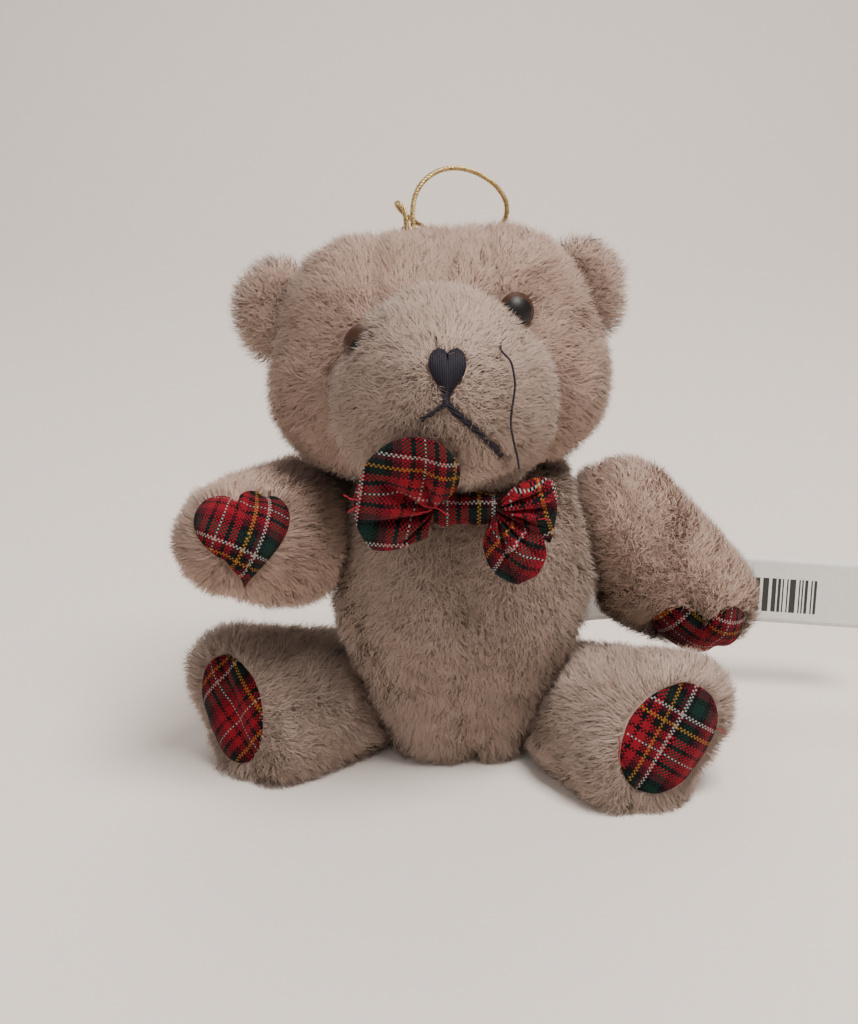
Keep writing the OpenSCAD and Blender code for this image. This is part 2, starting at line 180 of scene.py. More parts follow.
def quads(rings, count, start=0, closed=True):
    """Faces between rings of count points each, whose first point is start."""
    return [(start + i * count + k, start + i * count + (k + 1) % count,
             start + (i + 1) * count + (k + 1) % count, start + (i + 1) * count + k)
            for i in range(rings) for k in range(count if closed else count - 1)]


def flipped(faces):
    """The same faces seen from the other side, from the same first corner."""
    return [face[:1] + face[:0:-1] for face in faces]


def sweep(path, radius, sides=6):
    """Points and faces of a closed round tube along a path."""
    path = np.asarray(path, float)
    along = unit(np.gradient(path, axis=0))
    side = unit(np.cross(along[0], [0.31, 0.42, 0.85]))
    points = []
    for centre, direction in zip(path, along):
        side = unit(side - direction * (side @ direction))
        other = np.cross(direction, side)
        for k in range(sides):
            angle = 2 * math.pi * k / sides
            points.append(centre + radius * (math.cos(angle) * side + math.sin(angle) * other))
    faces = quads(len(path) - 1, sides)
    faces += [tuple(range(sides))[::-1], tuple(range(len(points) - sides, len(points)))]
    return points, faces


def strand_piece(name, strands, body, material, replaced=()):
    """A finished piece made of several tubes."""
    points, faces = [], []
    for more_points, more_faces in strands:
        start = len(points)
        points.extend(more_points)
        faces.extend(tuple(i + start for i in face) for face in more_faces)
    return give(add_object(name, mesh_from(name, points, faces)), body, [material], replaced)


def spline(points, count):
    """A smooth path with count points, evenly spaced, through the given ones."""
    points = np.asarray(points, float)
    padded = np.vstack([2 * points[0] - points[1], points, 2 * points[-1] - points[-2]])
    dense = []
    for p, q, r, s in zip(padded, padded[1:], padded[2:], padded[3:]):
        for t in np.linspace(0, 1, 16, endpoint=False):
            dense.append(q + t / 2 * (r - p) + t * t / 2 * (2 * p - 5 * q + 4 * r - s)
                         + t ** 3 / 2 * (3 * q - 3 * r + s - p))
    dense = np.array(dense + [points[-1]])
    run = np.concatenate([[0], np.cumsum(np.linalg.norm(np.diff(dense, axis=0), axis=1))])
    at = np.linspace(0, run[-1], count)
    return np.stack([np.interp(at, run, dense[:, k]) for k in range(3)], 1)


def new_material(name, colour, roughness, **sockets):
    """A Principled material, with any other sockets given by name."""
    material = bpy.data.materials.new(name)
    material.use_nodes = True
    shader = material.node_tree.nodes["Principled BSDF"]
    shader.inputs["Base Color"].default_value = (*colour, 1)
    shader.inputs["Roughness"].default_value = roughness
    for socket, value in sockets.items():
        shader.inputs[socket.replace("_", " ")].default_value = value
    return material


# ---- Camera, floor and light

def make_camera():
    """The photograph's view: its distance, height, tilt and focal length were fitted to it."""
    data = bpy.data.cameras.new("camera")
    data.sensor_fit = "VERTICAL"
    data.sensor_height = 36
    data.lens = 52.73
    camera = add_object("camera", data)
    camera.location = Vector((-6.0, -251.36, 127.4)) * MM
    camera.rotation_euler = (math.radians(90 - 17.8), 0, 0)
    bpy.context.scene.camera = camera


def make_stage():
    """A pale floor that bends up into a wall far behind; rows gives its (y, z) in metres."""
    rows = [(-3.0, 0.0), (0.35, 0.0), (0.55, 0.02), (0.68, 0.1), (0.72, 0.25), (0.72, 2.4)]
    points = [(x, y, z) for y, z in rows for x in (-3.0, 3.0)]
    floor = add_object("floor", mesh_from("floor", points, quads(len(rows) - 1, 2, closed=False)))
    bend = floor.modifiers.new("bend", "SUBSURF")
    bend.levels = bend.render_levels = 3
    floor.data.materials.append(new_material("pale_floor", (0.79, 0.72, 0.665), 0.9))


def area_light(name, place, target, size, power, colour):
    data = bpy.data.lights.new(name, "AREA")
    data.shape = "DISK"
    data.size = size
    data.energy = power
    data.color = colour
    light = add_object(name, data)
    light.location = place
    direction = Vector(target) - Vector(place)
    light.rotation_euler = direction.to_track_quat("-Z", "Y").to_euler()


def make_light():
    world = bpy.data.worlds.new("studio")
    world.use_nodes = True
    background = world.node_tree.nodes["Background"].inputs
    background["Color"].default_value = (1.0, 0.97, 0.94, 1)
    background["Strength"].default_value = 0.33
    bpy.context.scene.world = world
    centre = (-0.006, 0, 0.05)
    area_light("key", (0.22, -0.24, 0.80), centre, 0.40, 10.5, (1.0, 0.95, 0.90))
    area_light("fill", (-0.35, -0.65, 0.40), centre, 0.6, 1.2, (1.0, 0.97, 0.95))
    area_light("back", (0.0, 0.5, 0.6), centre, 0.5, 1.6, (1.0, 0.98, 0.96))


make_camera()
make_stage()
make_light()


# ---- Materials

class Graph:
    """Short calls that add nodes to a material."""

    def __init__(self, material):
        self.material = material
        self.tree = material.node_tree
        self.shader = self.tree.nodes["Principled BSDF"]

    def plug(self, source, socket):
        if isinstance(source, (int, float, tuple)):
            socket.default_value = source
        else:
            self.tree.links.new(source, socket)

    def node(self, kind, **inputs):
        made = self.tree.nodes.new(kind)
        for name, source in inputs.items():
            self.plug(source, made.inputs[name.replace("_", " ")])
        return made

    def math(self, operation, *values):
        made = self.tree.nodes.new("ShaderNodeMath")
        made.operation = operation
        for value, socket in zip(values, made.inputs):
            self.plug(value, socket)
        return made.outputs[0]

    def mix(self, factor, first, second, blend="MIX"):
        made = self.tree.nodes.new("ShaderNodeMix")
        made.data_type = "RGBA"
        made.blend_type = blend
        self.plug(factor, made.inputs["Factor"])
        self.plug(first, made.inputs["A"])
        self.plug(second, made.inputs["B"])
        return made.outputs["Result"]

    def scaled(self, value, by, base):
        return self.math("MULTIPLY_ADD", value, by, base)

    def both(self, first, second):
        return self.math("MULTIPLY", first, second)

    def ramp(self, factor, stops, constant=False):
        made = self.tree.nodes.new("ShaderNodeValToRGB")
        made.color_ramp.interpolation = "CONSTANT" if constant else "LINEAR"
        elements = made.color_ramp.elements
        while len(elements) < len(stops):
            elements.new(1.0)
        for element, (place, colour) in zip(elements, stops):
            element.position = place
            element.color = (*colour, 1)
        self.plug(factor, made.inputs["Fac"])
        return made.outputs["Color"]

    def noise(self, scale, detail=2.0, roughness=0.5):
        """Noise in the object's own space, whose unit is a metre."""
        made = self.node("ShaderNodeTexNoise", Scale=scale, Detail=detail, Roughness=roughness)
        self.plug(self.tree.nodes.new("ShaderNodeTexCoord").outputs["Object"], made.inputs["Vector"])
        return made.outputs["Fac"]

    def cloth_place(self):
        """The two distances across the cloth, in millimetres, that its mesh carries."""
        made = self.tree.nodes.new("ShaderNodeAttribute")
        made.attribute_name = "cloth"
        parts = self.node("ShaderNodeSeparateXYZ")
        self.plug(made.outputs["Vector"], parts.inputs[0])
        return parts.outputs[0], parts.outputs[1]

    def bump(self, height, distance, strength=1.0):
        made = self.node("ShaderNodeBump", Height=height, Distance=distance, Strength=strength)
        self.plug(made.outputs["Normal"], self.shader.inputs["Normal"])

    def colour(self, source):
        self.plug(source, self.shader.inputs["Base Color"])

    def roughness(self, source):
        self.plug(source, self.shader.inputs["Roughness"])


# Colours are linear. Each of SHADES is a share of the plush colour, for one of six kinds of fibre; each
# blade's root half takes one a step darker than its tip, as painted shade deep in the pile.
PLUSH = np.array([0.495, 0.344, 0.274])
LIGHT_PLUSH = np.array([0.480, 0.356, 0.291])
SHADES = (0.73, 0.81, 0.89, 0.96, 1.03, 1.11)


def pile_materials(name, colour):
    """One plain material for each shade of the fibres, darkest first."""
    made = []
    for k, shade in enumerate(SHADES):
        tone = colour * shade * (1 + np.array([0.02, 0.0, -0.03]) * (len(SHADES) / 2 - k) / 2)
        made.append(new_material(f"{name}_{k}", tuple(np.clip(tone, 0, 1)), 0.85,
                                 Sheen_Weight=0.1, Sheen_Roughness=0.5, Specular_IOR_Level=0.1))
    return made


def backing_material(name, colour):
    """The knitted backing that shows between the fibres, darkened well below their colour as painted shade
    deep in the pile.
    """
    graph = Graph(new_material(name, tuple(colour * 0.6), 0.95, Specular_IOR_Level=0.1))
    # Between 0.42 and 0.8 of the fibre colour: painted shade deep in the pile, with a random knitted tone.
    graph.colour(graph.mix(graph.noise(1400, 3.0), *tones(colour, 0.42, 0.8)))
    graph.bump(graph.noise(2600), 0.0003, 0.8)
    return graph.material


YARN = 0.32      # mm from one yarn of the tartan to the next
RED = (0.27, 0.007, 0.018)
CRIMSON = (0.10, 0.003, 0.012)
BLACK = (0.004, 0.0035, 0.005)
GREEN = (0.004, 0.026, 0.019)
WHITE = (0.31, 0.29, 0.27)
YELLOW = (0.30, 0.14, 0.02)
SETT = ((RED, 4), (BLACK, 2), (RED, 4), (WHITE, 1), (RED, 4), (BLACK, 2), (RED, 4), (BLACK, 4),
        (YELLOW, 2), (BLACK, 3), (CRIMSON, 2), (WHITE, 2), (BLACK, 2), (GREEN, 6), (BLACK, 3),
        (CRIMSON, 4))
SETT_YARNS = sum(count for colour, count in SETT)
SETT_STARTS = np.cumsum([0] + [count for colour, count in SETT[:-1]]) / SETT_YARNS
WEAVE_START = 50 * SETT_YARNS * YARN      # keeps distances across the cloth above zero


def tartan_material():
    """Plain-woven tartan: each crossing shows the warp or the weft yarn, rounded by bump and darkened towards
    its edges as painted shade.
    """
    stops = [(float(start), colour) for start, (colour, count) in zip(SETT_STARTS, SETT)]
    graph = Graph(new_material("tartan_cloth", RED, 0.85, Sheen_Weight=0.03,
                               Specular_IOR_Level=0.12))
    warp, weft = (graph.math("DIVIDE", distance, YARN) for distance in graph.cloth_place())
    warp_count, weft_count = graph.math("FLOOR", warp), graph.math("FLOOR", weft)

    def yarn_colour(count):
        part = graph.math("FRACT", graph.math("DIVIDE", graph.math("ADD", count, 0.5), SETT_YARNS))
        return graph.ramp(part, stops, constant=True)

    def roundness(place):
        half_turn = graph.both(graph.math("FRACT", place), math.pi)
        return graph.math("POWER", graph.math("SINE", half_turn), 0.6)

    over = graph.math("PINGPONG", graph.math("ADD", warp_count, weft_count), 1.0)
    height = graph.both(roundness(warp), roundness(weft))
    colour = graph.mix(over, yarn_colour(warp_count), yarn_colour(weft_count))
    # Each yarn is darker towards its edges, where it dips at the crossings: painted shade, times a fine
    # random tone.
    shade = graph.both(graph.scaled(height, 0.75, 0.35), graph.scaled(graph.noise(9000), 0.5, 0.75))
    yarn_shade_and_tone = graph.node("ShaderNodeCombineColor", Red=shade, Green=shade, Blue=shade).outputs[0]
    graph.colour(graph.mix(1.0, colour, yarn_shade_and_tone, "MULTIPLY"))
    graph.bump(height, 0.00012, 0.9)
    return graph.material


def tones(colour, *shares):
    return [(*(min(1.0, share * c) for c in colour), 1) for share in shares]


def floss_material(name, colour, gloss):
    """Embroidery thread: fine fibres along a soft shine."""
    graph = Graph(new_material(name, colour, gloss, Specular_IOR_Level=0.3))
    fibres = graph.noise(7000, 3.0)
    graph.colour(graph.mix(fibres, *tones(colour, 0.6, 1.7)))
    graph.roughness(graph.scaled(fibres, 0.3, gloss - 0.1))
    graph.bump(fibres, 0.0001, 0.6)
    return graph.material


def gold_material():
    """Metallic thread, whose flat strip glints in flakes: pale glints and dark reflections are painted into
    its colour, beside its changing gloss.
    """
    graph = Graph(new_material("gold_thread", (0.72, 0.52, 0.22), 0.3, Metallic=1.0))
    flakes = graph.noise(3800, 3.0, 0.7)
    # The colour runs from dark brown to pale gold over the noise: painted glints and painted dark
    # reflections.
    graph.colour(graph.ramp(flakes, ((0.3, (0.20, 0.12, 0.04)), (0.5, (0.62, 0.44, 0.18)),
                                     (0.66, (0.95, 0.84, 0.55)))))
    graph.roughness(graph.scaled(flakes, 0.4, 0.12))
    graph.bump(flakes, 0.00008, 0.8)
    return graph.material


def satin_material():
    """White satin tape: fine ribs, with plain dark bars on the part that shows, in mm along it."""
    graph = Graph(new_material("label_bars", (0.80, 0.79, 0.77), 0.45, Sheen_Weight=0.2))
    run, height = graph.cloth_place()
    ribs = graph.math("SINE", graph.both(height, 2 * math.pi / 0.3))
    soft = graph.noise(900, 3.0)
    tape = graph.mix(soft, (0.74, 0.73, 0.70, 1), (0.86, 0.85, 0.83, 1))
    columns = graph.tree.nodes.new("ShaderNodeTexWhiteNoise")
    columns.noise_dimensions = "1D"
    graph.plug(graph.math("FLOOR", graph.math("DIVIDE", run, 0.28)), columns.inputs["W"])
    bars = graph.math("GREATER_THAN", columns.outputs["Value"], 0.5)
    for place, first, last in ((run, 51.0, 68.0), (height, 2.2, 9.0)):
        bars = graph.both(bars, graph.both(graph.math("GREATER_THAN", place, first),
                                           graph.math("LESS_THAN", place, last)))
    graph.colour(graph.mix(bars, tape, (0.02, 0.02, 0.022, 1)))
    graph.roughness(graph.scaled(soft, 0.2, 0.35))
    graph.bump(ribs, 0.00002, 0.5)
    return graph.material


def plastic_material(name, colour, roughness, **sockets):
    """Moulded plastic with a faint flow texture."""
    graph = Graph(new_material(name, colour, roughness, **sockets))
    flow = graph.noise(1200, 4.0)
    graph.colour(graph.mix(flow, *tones(colour, 0.85, 1.15)))
    graph.roughness(graph.scaled(flow, 0.12, roughness - 0.06))
    return graph.material


def steel_material():
    graph = Graph(new_material("spring_steel", (0.55, 0.55, 0.57), 0.35, Metallic=1.0))
    brushed = graph.noise(4200, 4.0)
    graph.roughness(graph.scaled(brushed, 0.3, 0.22))
    graph.bump(brushed, 0.00002, 0.4)
    return graph.material


PLUSH_PILE = pile_materials("plush_fibre", PLUSH)
LIGHT_PILE = pile_materials("light_fibre", LIGHT_PLUSH)
PLUSH_BACKING = backing_material("plush_backing", PLUSH)
LIGHT_BACKING = backing_material("light_backing", LIGHT_PLUSH)
TARTAN = tartan_material()
FLOSS = floss_material("black_floss", (0.008, 0.006, 0.013), 0.5)
GOLD = gold_material()


# ---- Cords

LOOP_ROUTE = (
    (-8.6, 0, 95.8), (-8.7, 0.1, 98), (-8.6, 0.3, 100), (-7.9, 0.7, 102.3), (-6.2, 1.2, 104.3),
    (-3.8, 1.8, 105.5), (-1, 2.4, 105.7), (2, 3.3, 104.8), (5, 4.5, 102.8), (6.9, 6, 100),
    (7.1, 7.6, 97.2), (5.6, 9.2, 94.9), (2.4, 10.4, 93.7), (-0.8, 10.8, 93.3), (-3.8, 10.2, 93.9),
    (-6.6, 8.8, 95.2), (-9, 6.8, 96.8), (-10.6, 4.6, 98.4), (-11.3, 2.6, 99.6),
    (-11.2, 1, 100.2), (-10.5, 0, 99.9), (-10, -0.3, 98.8), (-9.8, -0.3, 97.4), (-9.7, -0.2, 95.8),
)
THREAD_ROUTE = (
    (9.7, -19.5, 82.1), (8.2, -20.9, 83.7), (6.4, -22.6, 84.5), (5.5, -25.2, 83.9), (4.9, -28, 82.9),
    (4.8, -30.3, 81.9), (5.4, -31.2, 81.3),
    (6.2, -31.8, 80.4), (6.6, -32.6, 78.9), (6.8, -33.2, 77.2), (6.6, -33.9, 75.4), (6.3, -34.4, 73.4),
    (6.2, -34.7, 71.4), (6.5, -34.9, 69.6), (6.9, -35, 67.9), (7.3, -35, 66.3), (7.5, -34.9, 64.7),
)


def path_length(path):
    return float(np.linalg.norm(np.diff(path, axis=0), axis=1).sum())


def make_cord(name, node, route, count, plies, pitch, offset, thick, beside, slot, material, **facts):
    path = spline(np.array(route) * MM, count)
    length = path_length(path)
    side = unit(np.cross(unit(np.gradient(path, axis=0)), unit(beside)))
    other = np.cross(unit(np.gradient(path, axis=0)), side)
    run = np.linspace(0, length, len(path))
    strands = []
    for k in range(plies):
        angle = 2 * math.pi * (run / (pitch * MM) + k / plies)[:, None]
        centre = path + offset * MM * (np.cos(angle) * side + np.sin(angle) * other)
        strands.append(sweep(centre, thick * MM))
    cord = strand_piece(name, strands, "head", material, [node])


make_cord("gold_hanging_loop", "hanging_loop", LOOP_ROUTE, 420, 3, 1.7, 0.22, 0.25, (-0.42, 0.9, 0.14),
          "gold_cord", GOLD, diameter=0.8 * MM, far_end="object", stiffness="stiff", lay="loose")
make_cord("loose_black_thread", "loose_thread", THREAD_ROUTE, 260, 2, 0.9, 0.09, 0.11, (1, 0, 0),
          "black_floss", FLOSS, diameter=0.4 * MM, far_end="bare", stiffness="limp", lay="hanging")


# ---- Stuffed skins

SIM_SCALE = 20      # cloth settles well at cushion size, so small parts are simulated enlarged
SIM_FRAMES = 20
VOXEL = 1.5 * MM          # from one point of a skin to the next, before it is subdivided
PULLED_IN = 1.3 * MM      # how far a skin lies inside its CAD form, to leave room for the pile
ROUNDING = 0.8 * MM       # how far a skin bulges between its seams before Cloth starts
SWELL = 0.5 * MM          # the most that Cloth adds to that
HELD = 1.0 * MM           # how far from a seam the skin is held by it
GROOVE = 0.45 * MM        # how deep a seam lies in the finished skin
GROOVE_HALF = 0.7 * MM    # and how far it reaches to each side
BELLY_SEAM = 1.2 * MM     # how far the torso's middle seam is off centre


def hull_object(name, node):
    """The closed outer form of a CAD skin."""
    bm = bmesh.new()
    for co in coordinates(NODES[node].data):
        bm.verts.new(co)
    bmesh.ops.remove_doubles(bm, verts=bm.verts, dist=0.02 * MM)
    result = bmesh.ops.convex_hull(bm, input=bm.verts)
    spare = [g for g in result["geom_interior"] + result["geom_unused"]
             if isinstance(g, bmesh.types.BMVert)]
    bmesh.ops.delete(bm, geom=list(set(spare)), context="VERTS")
    bmesh.ops.recalc_face_normals(bm, faces=bm.faces)
    mesh = bpy.data.meshes.new(name)
    bm.to_mesh(mesh)
    bm.free()
    return add_object(name, mesh)


def relaxed(mesh, rounds):
    """Vertex positions after averaging with their neighbours."""
    edges = np.empty(len(mesh.edges) * 2, np.int32)
    mesh.edges.foreach_get("vertices", edges)
    edges = edges.reshape(-1, 2)
    co = coordinates(mesh)
    count = np.bincount(edges.ravel(), minlength=len(co))[:, None]
    for _ in range(rounds):
        total = np.zeros_like(co)
        np.add.at(total, edges[:, 0], co[edges[:, 1]])
        np.add.at(total, edges[:, 1], co[edges[:, 0]])
        co = 0.5 * co + 0.5 * total / count
    return co


def inflate(obj, seam_weight, cap):
    """Swells a closed skin with Cloth at pressure, held at its seams, by at most cap."""
    start = coordinates(obj.data)
    set_coordinates(obj.data, start * SIM_SCALE)
    group = obj.vertex_groups.new(name="seam")
    for index in np.nonzero(seam_weight > 0.02)[0]:
        group.add([int(index)], float(seam_weight[index]), "REPLACE")
    cloth = obj.modifiers.new("cloth", "CLOTH")
    for setting, value in (("quality", 4), ("mass", 0.3), ("use_pressure", True),
                           ("uniform_pressure_force", 4), ("vertex_group_mass", "seam")):
        setattr(cloth.settings, setting, value)
    cloth.settings.effector_weights.gravity = 0
    cloth.point_cache.frame_end = SIM_FRAMES
    for number in range(1, SIM_FRAMES + 1):
        bpy.context.scene.frame_set(number)
    graph = bpy.context.evaluated_depsgraph_get()
    swollen = coordinates(obj.evaluated_get(graph).to_mesh()) / SIM_SCALE
    obj.evaluated_get(graph).to_mesh_clear()
    obj.modifiers.clear()
    obj.vertex_groups.clear()
    bpy.context.scene.frame_set(1)
    move = swollen - start
    far = np.linalg.norm(move, axis=1, keepdims=True)
    set_coordinates(obj.data, start + move * np.minimum(1, cap / np.maximum(far, 1e-9)))


def kept_in_place(co, body):
    """Points held on their own side of each joint's plane and above the surface below."""
    gap = 0.16 * MM
    co = co.copy()
    for point, out in joint_planes(body):
        co += np.minimum((point - co) @ out - gap, 0)[:, None] * out
    co[:, 2] = np.maximum(co[:, 2], 0.05 * MM)
    return co


def stuffed(name, node, body, backing, seams, rounds, shape=None):
    """A sewn and stuffed skin: remeshed, swollen between its seams, then subdivided.

    Each of seams gives the distance from one seam, and shape moves the points beforehand."""
    obj = hull_object(name, node)
    remesh = obj.modifiers.new("remesh", "REMESH")
    remesh.mode = "VOXEL"
    remesh.voxel_size = VOXEL
    applied(obj)
    co = relaxed(obj.data, rounds)
    set_coordinates(obj.data, co)
    co = co - PULLED_IN * vertex_normals(obj.data)
    if shape:
        co = shape(co)
    set_coordinates(obj.data, co)
    weight = np.zeros(len(co))
    for seam in seams:
        weight = np.maximum(weight, np.exp(-(seam(co) / HELD) ** 2))
    set_coordinates(obj.data, co + ROUNDING * (1 - weight[:, None]) * vertex_normals(obj.data))
    inflate(obj, weight, SWELL)
    smooth = obj.modifiers.new("smooth", "SUBSURF")
    smooth.levels = smooth.render_levels = 1
    applied(obj)
    co = coordinates(obj.data)
    for seam in seams:
        groove = np.exp(-(seam(co) / GROOVE_HALF) ** 2)[:, None]
        co = co - GROOVE * groove * vertex_normals(obj.data)
    set_coordinates(obj.data, kept_in_place(co, body))
    give(obj, body, [backing],
         [node, node.replace("_skin", "_stuffing")] if node.endswith("_skin") else [node])
    return obj


def limb_frame(joint, pad):
    """A limb's joint point, outward axis and direction towards its pad."""
    point, out = PLANES[joint]
    along = middle(pad) - point
    return point, out, unit(along - out * (along @ out))


def limb_seam(joint, pad, near, spread):
    """Distance from the seam that runs round a limb, near mm from its joint plane."""
    point, out, along = limb_frame(joint, pad)

    def distance(co):
        run = (co - point) @ along
        return (co - point) @ out - near * MM - spread * run
    return distance


def front_seam(co):
    """The torso's middle seam, seen on the lower belly and up the back."""
    line = BELLY_SEAM - 0.03 * (co[:, 2] - 20 * MM)
    lower = np.where(co[:, 1] < -2 * MM, np.maximum(0, co[:, 2] - 38 * MM) * 0.3, 0)
    return np.abs(co[:, 0] - line) + lower


def gusset_seam(side):
    """One of the two seams that run from the face over the top of the head."""
    def distance(co):
        local = co - HEAD
        x = local @ HEAD_X
        low = np.maximum(0, -2 * MM - local @ HEAD_UP)
        return np.abs(x - side * 9 * MM) + low * 0.6
    return distance


def muzzle_seam(co):
    """The chin seam under the nose."""
    x = (co - HEAD) @ HEAD_X
    high = np.maximum(0, (co - HEAD) @ HEAD_UP + 6 * MM)
    return np.abs(x - 1 * MM) + high


def bottom_notch(co):
    """The two rounded halves at the bottom of the torso, parted by the seam."""
    x = co[:, 0] - BELLY_SEAM
    low = np.clip((12 * MM - co[:, 2]) / (12 * MM), 0, 1)
    front = np.clip((-4 * MM - co[:, 1]) / (6 * MM), 0, 1)
    dip = np.exp(-(x / (1.6 * MM)) ** 2) * low * front
    co = co.copy()
    co[:, 1] += 2.6 * MM * dip
    co[:, 2] += 3.4 * MM * dip
    return co


def hollow_ear(node):
    """Bends an ear forward round a shallow hollow in its front."""
    def shape(co):
        low, high = box_of(node)
        half = (high - low) / 2
        around = (co - (low + high) / 2) / half
        reach = np.clip(1 - around[:, 0] ** 2 - around[:, 2] ** 2, 0, 1)
        front = np.clip(-around[:, 1], 0, 1)
        co = co.copy()
        co[:, 1] += (2.6 * front + 0.9) * reach * MM
        return co
    return shape


torso = stuffed("torso_plush", "torso_skin", "torso", PLUSH_BACKING, [front_seam], 5, bottom_notch)
head = stuffed("head_plush", "head_skin", "head", PLUSH_BACKING, [gusset_seam(-1), gusset_seam(1)], 9)
muzzle = stuffed("muzzle_plush", "muzzle_panel", "head", LIGHT_BACKING, [muzzle_seam], 5)
SIDES = ("left", "right")
ears = {side: stuffed(f"{side}_ear_plush", f"{side}_ear", "head", PLUSH_BACKING, [], 2,
                      hollow_ear(f"{side}_ear")) for side in SIDES}
arms = {side: stuffed(f"{side}_arm_plush", f"{side}_arm_skin", f"{side}_arm", PLUSH_BACKING,
                      [limb_seam(f"{side}_shoulder", f"{side}_paw_pad", 9, 0.35)], 4) for side in SIDES}
legs = {side: stuffed(f"{side}_leg_plush", f"{side}_leg_skin", f"{side}_leg", LIGHT_BACKING,
                      [limb_seam(f"{side}_hip", f"{side}_foot_pad", 8, 0.3)], 4) for side in SIDES}


# ---- Tartan pads

PAD_ANGLES = np.linspace(-math.pi, math.pi, 144, endpoint=False)
HEART = (18.5, 21.0)      # mm across and along, over the curve of the paw


def heart_outline():
    """Half of a heart of height 1 and width 1, from the notch round to the tip, with its widest point."""
    t = np.linspace(0, math.pi, 240)
    x = np.sin(t) ** 3 / 2
    y = 13 * np.cos(t) - 5 * np.cos(2 * t) - 2 * np.cos(3 * t) - np.cos(4 * t)
    y = (y - y.min()) / (y.max() - y.min())
    lobe = int(y.argmax())
    y[:lobe] = 1 - 0.7 * (1 - y[:lobe])
    return x, y, int(x.argmax())


def facing_frame(normal):
    """Level and upward directions across a pad that faces along normal."""
    right = unit(np.cross(UP, normal))
    return right, np.cross(normal, right)


def sole_frame(node, skin_middle):
    """A flat sole's centre and outward normal, and its outline as a radius at each angle."""
    co = coordinates(NODES[node].data)
    centre = co.mean(0)
    flattest = np.linalg.eigh(np.cov((co - centre).T))[1][:, 0]
    normal = flattest * np.sign((centre - skin_middle) @ flattest)
    right, up = facing_frame(normal)
    patch = tree(NODES[node])
    outline = np.zeros(len(PAD_ANGLES))
    for k, a in enumerate(PAD_ANGLES):
        out = math.cos(a) * right + math.sin(a) * up
        inner, outer = 0.0, 14 * MM
        while outer - inner > 0.02 * MM:
            reach = (inner + outer) / 2
            start = centre + reach * out + 10 * MM * normal
            if patch.ray_cast(Vector(start), Vector(-normal), 20 * MM)[0] is None:
                outer = reach
            else:
                inner = reach
        outline[k] = inner
    return centre, normal, outline


def paw_frame(node):
    """The centre and radius of the ball that a paw's pad wraps, and the way the pad faces."""
    co = coordinates(NODES[node].data)
    middle_at = co.mean(0)
    local = co - middle_at
    terms = np.column_stack([2 * local, np.full(len(co), MM)])
    fit = np.linalg.lstsq(terms, (local ** 2).sum(1), rcond=None)[0]
    centre = fit[:3]
    radius = math.sqrt(fit[3] * MM + centre @ centre)
    return centre + middle_at, radius, unit(-centre)


def heart_reach(width, height):
    """A heart's outline as a radius at each angle round a point just above its middle."""
    x, y, widest = heart_outline()
    x, y = x * width, (y - 0.53) * height
    angle = np.arctan2(y, x)
    order = np.argsort(angle)
    folded = np.where(np.abs(PAD_ANGLES) > math.pi / 2,
                      np.sign(PAD_ANGLES) * math.pi - PAD_ANGLES, PAD_ANGLES)
    return np.interp(folded, angle[order], np.hypot(x, y)[order])


def set_cloth(mesh, flat):
    """Stores each point's two distances across the cloth, in millimetres, for its material."""
    values = np.zeros((len(flat), 3), np.float32)
    values[:, :2] = flat
    attribute = mesh.attributes.new("cloth", "FLOAT_VECTOR", "POINT")
    attribute.data.foreach_set("vector", values.ravel())


def weave(mesh, flat, turn, shift, merge=0.0):
    """Gives a mesh its weave, turned by degrees and shifted by mm, and closes and smooths it.

    Points within merge mm of each other become one."""
    c, s = math.cos(math.radians(turn)), math.sin(math.radians(turn))
    run, rise = np.array(flat).T
    set_cloth(mesh, np.stack([run * c - rise * s + shift[0] + WEAVE_START,
                              run * s + rise * c + shift[1] + WEAVE_START], 1))
    bm = bmesh.new()
    bm.from_mesh(mesh)
    if merge:
        bmesh.ops.remove_doubles(bm, verts=bm.verts, dist=merge * MM)
    bmesh.ops.recalc_face_normals(bm, faces=bm.faces)
    bm.to_mesh(mesh)
    bm.free()
    mesh.shade_smooth()


def make_pad(side, part, limb, skin, turn, shift, heart=None, narrow=1.0):
    """A tartan patch that lies on the stuffed skin, with its edge turned under.

    heart gives the width and height in mm of a heart that wraps a paw; without it the patch is a
    flat sole of the CAD pad's outline, and narrow is its share of that width."""
    node = f"{side}_{part}_pad"
    if heart:
        centre, radius, normal = paw_frame(node)
        outline = heart_reach(heart[0] * MM, heart[1] * MM)
    else:
        centre, normal, outline = sole_frame(node, coordinates(skin.data).mean(0))
    right, up = facing_frame(normal)
    surface = tree(skin)
    rings = 22
    points, flat = [], []
    for ring in range(rings + 2):
        share = min(ring / rings, 1.0)
        for a, reach in zip(PAD_ANGLES, outline):
            r = reach * share
            aside = narrow * math.cos(a) * right + math.sin(a) * up
            if heart:
                way = -math.cos(r / radius) * normal - math.sin(r / radius) * aside
                start = centre - 20 * MM * way
            else:
                way = -normal
                start = centre + r * aside + 8 * MM * normal
            hit = surface.ray_cast(Vector(start), Vector(way))
            ground = np.array(hit[0]) if hit[0] is not None else centre + r * aside
            rise = 0.9 * (1 - share ** 5) + 0.4 if ring <= rings else -0.5
            points.append(ground - rise * MM * way)
            flat.append((r * math.cos(a) / MM, r * math.sin(a) / MM))
    count = len(PAD_ANGLES)
    mesh = mesh_from(f"{side}_{part}_tartan", points, quads(rings + 1, count))
    inner = count * (rings - 1)
    eased = coordinates(mesh)
    eased[:inner] = relaxed(mesh, 14)[:inner]
    eased[:count] = eased[:count].mean(0)
    set_coordinates(mesh, eased)
    weave(mesh, flat, turn, shift, 0.005)
    return give(add_object(mesh.name, mesh), f"{side}_{limb}", [TARTAN], [node])


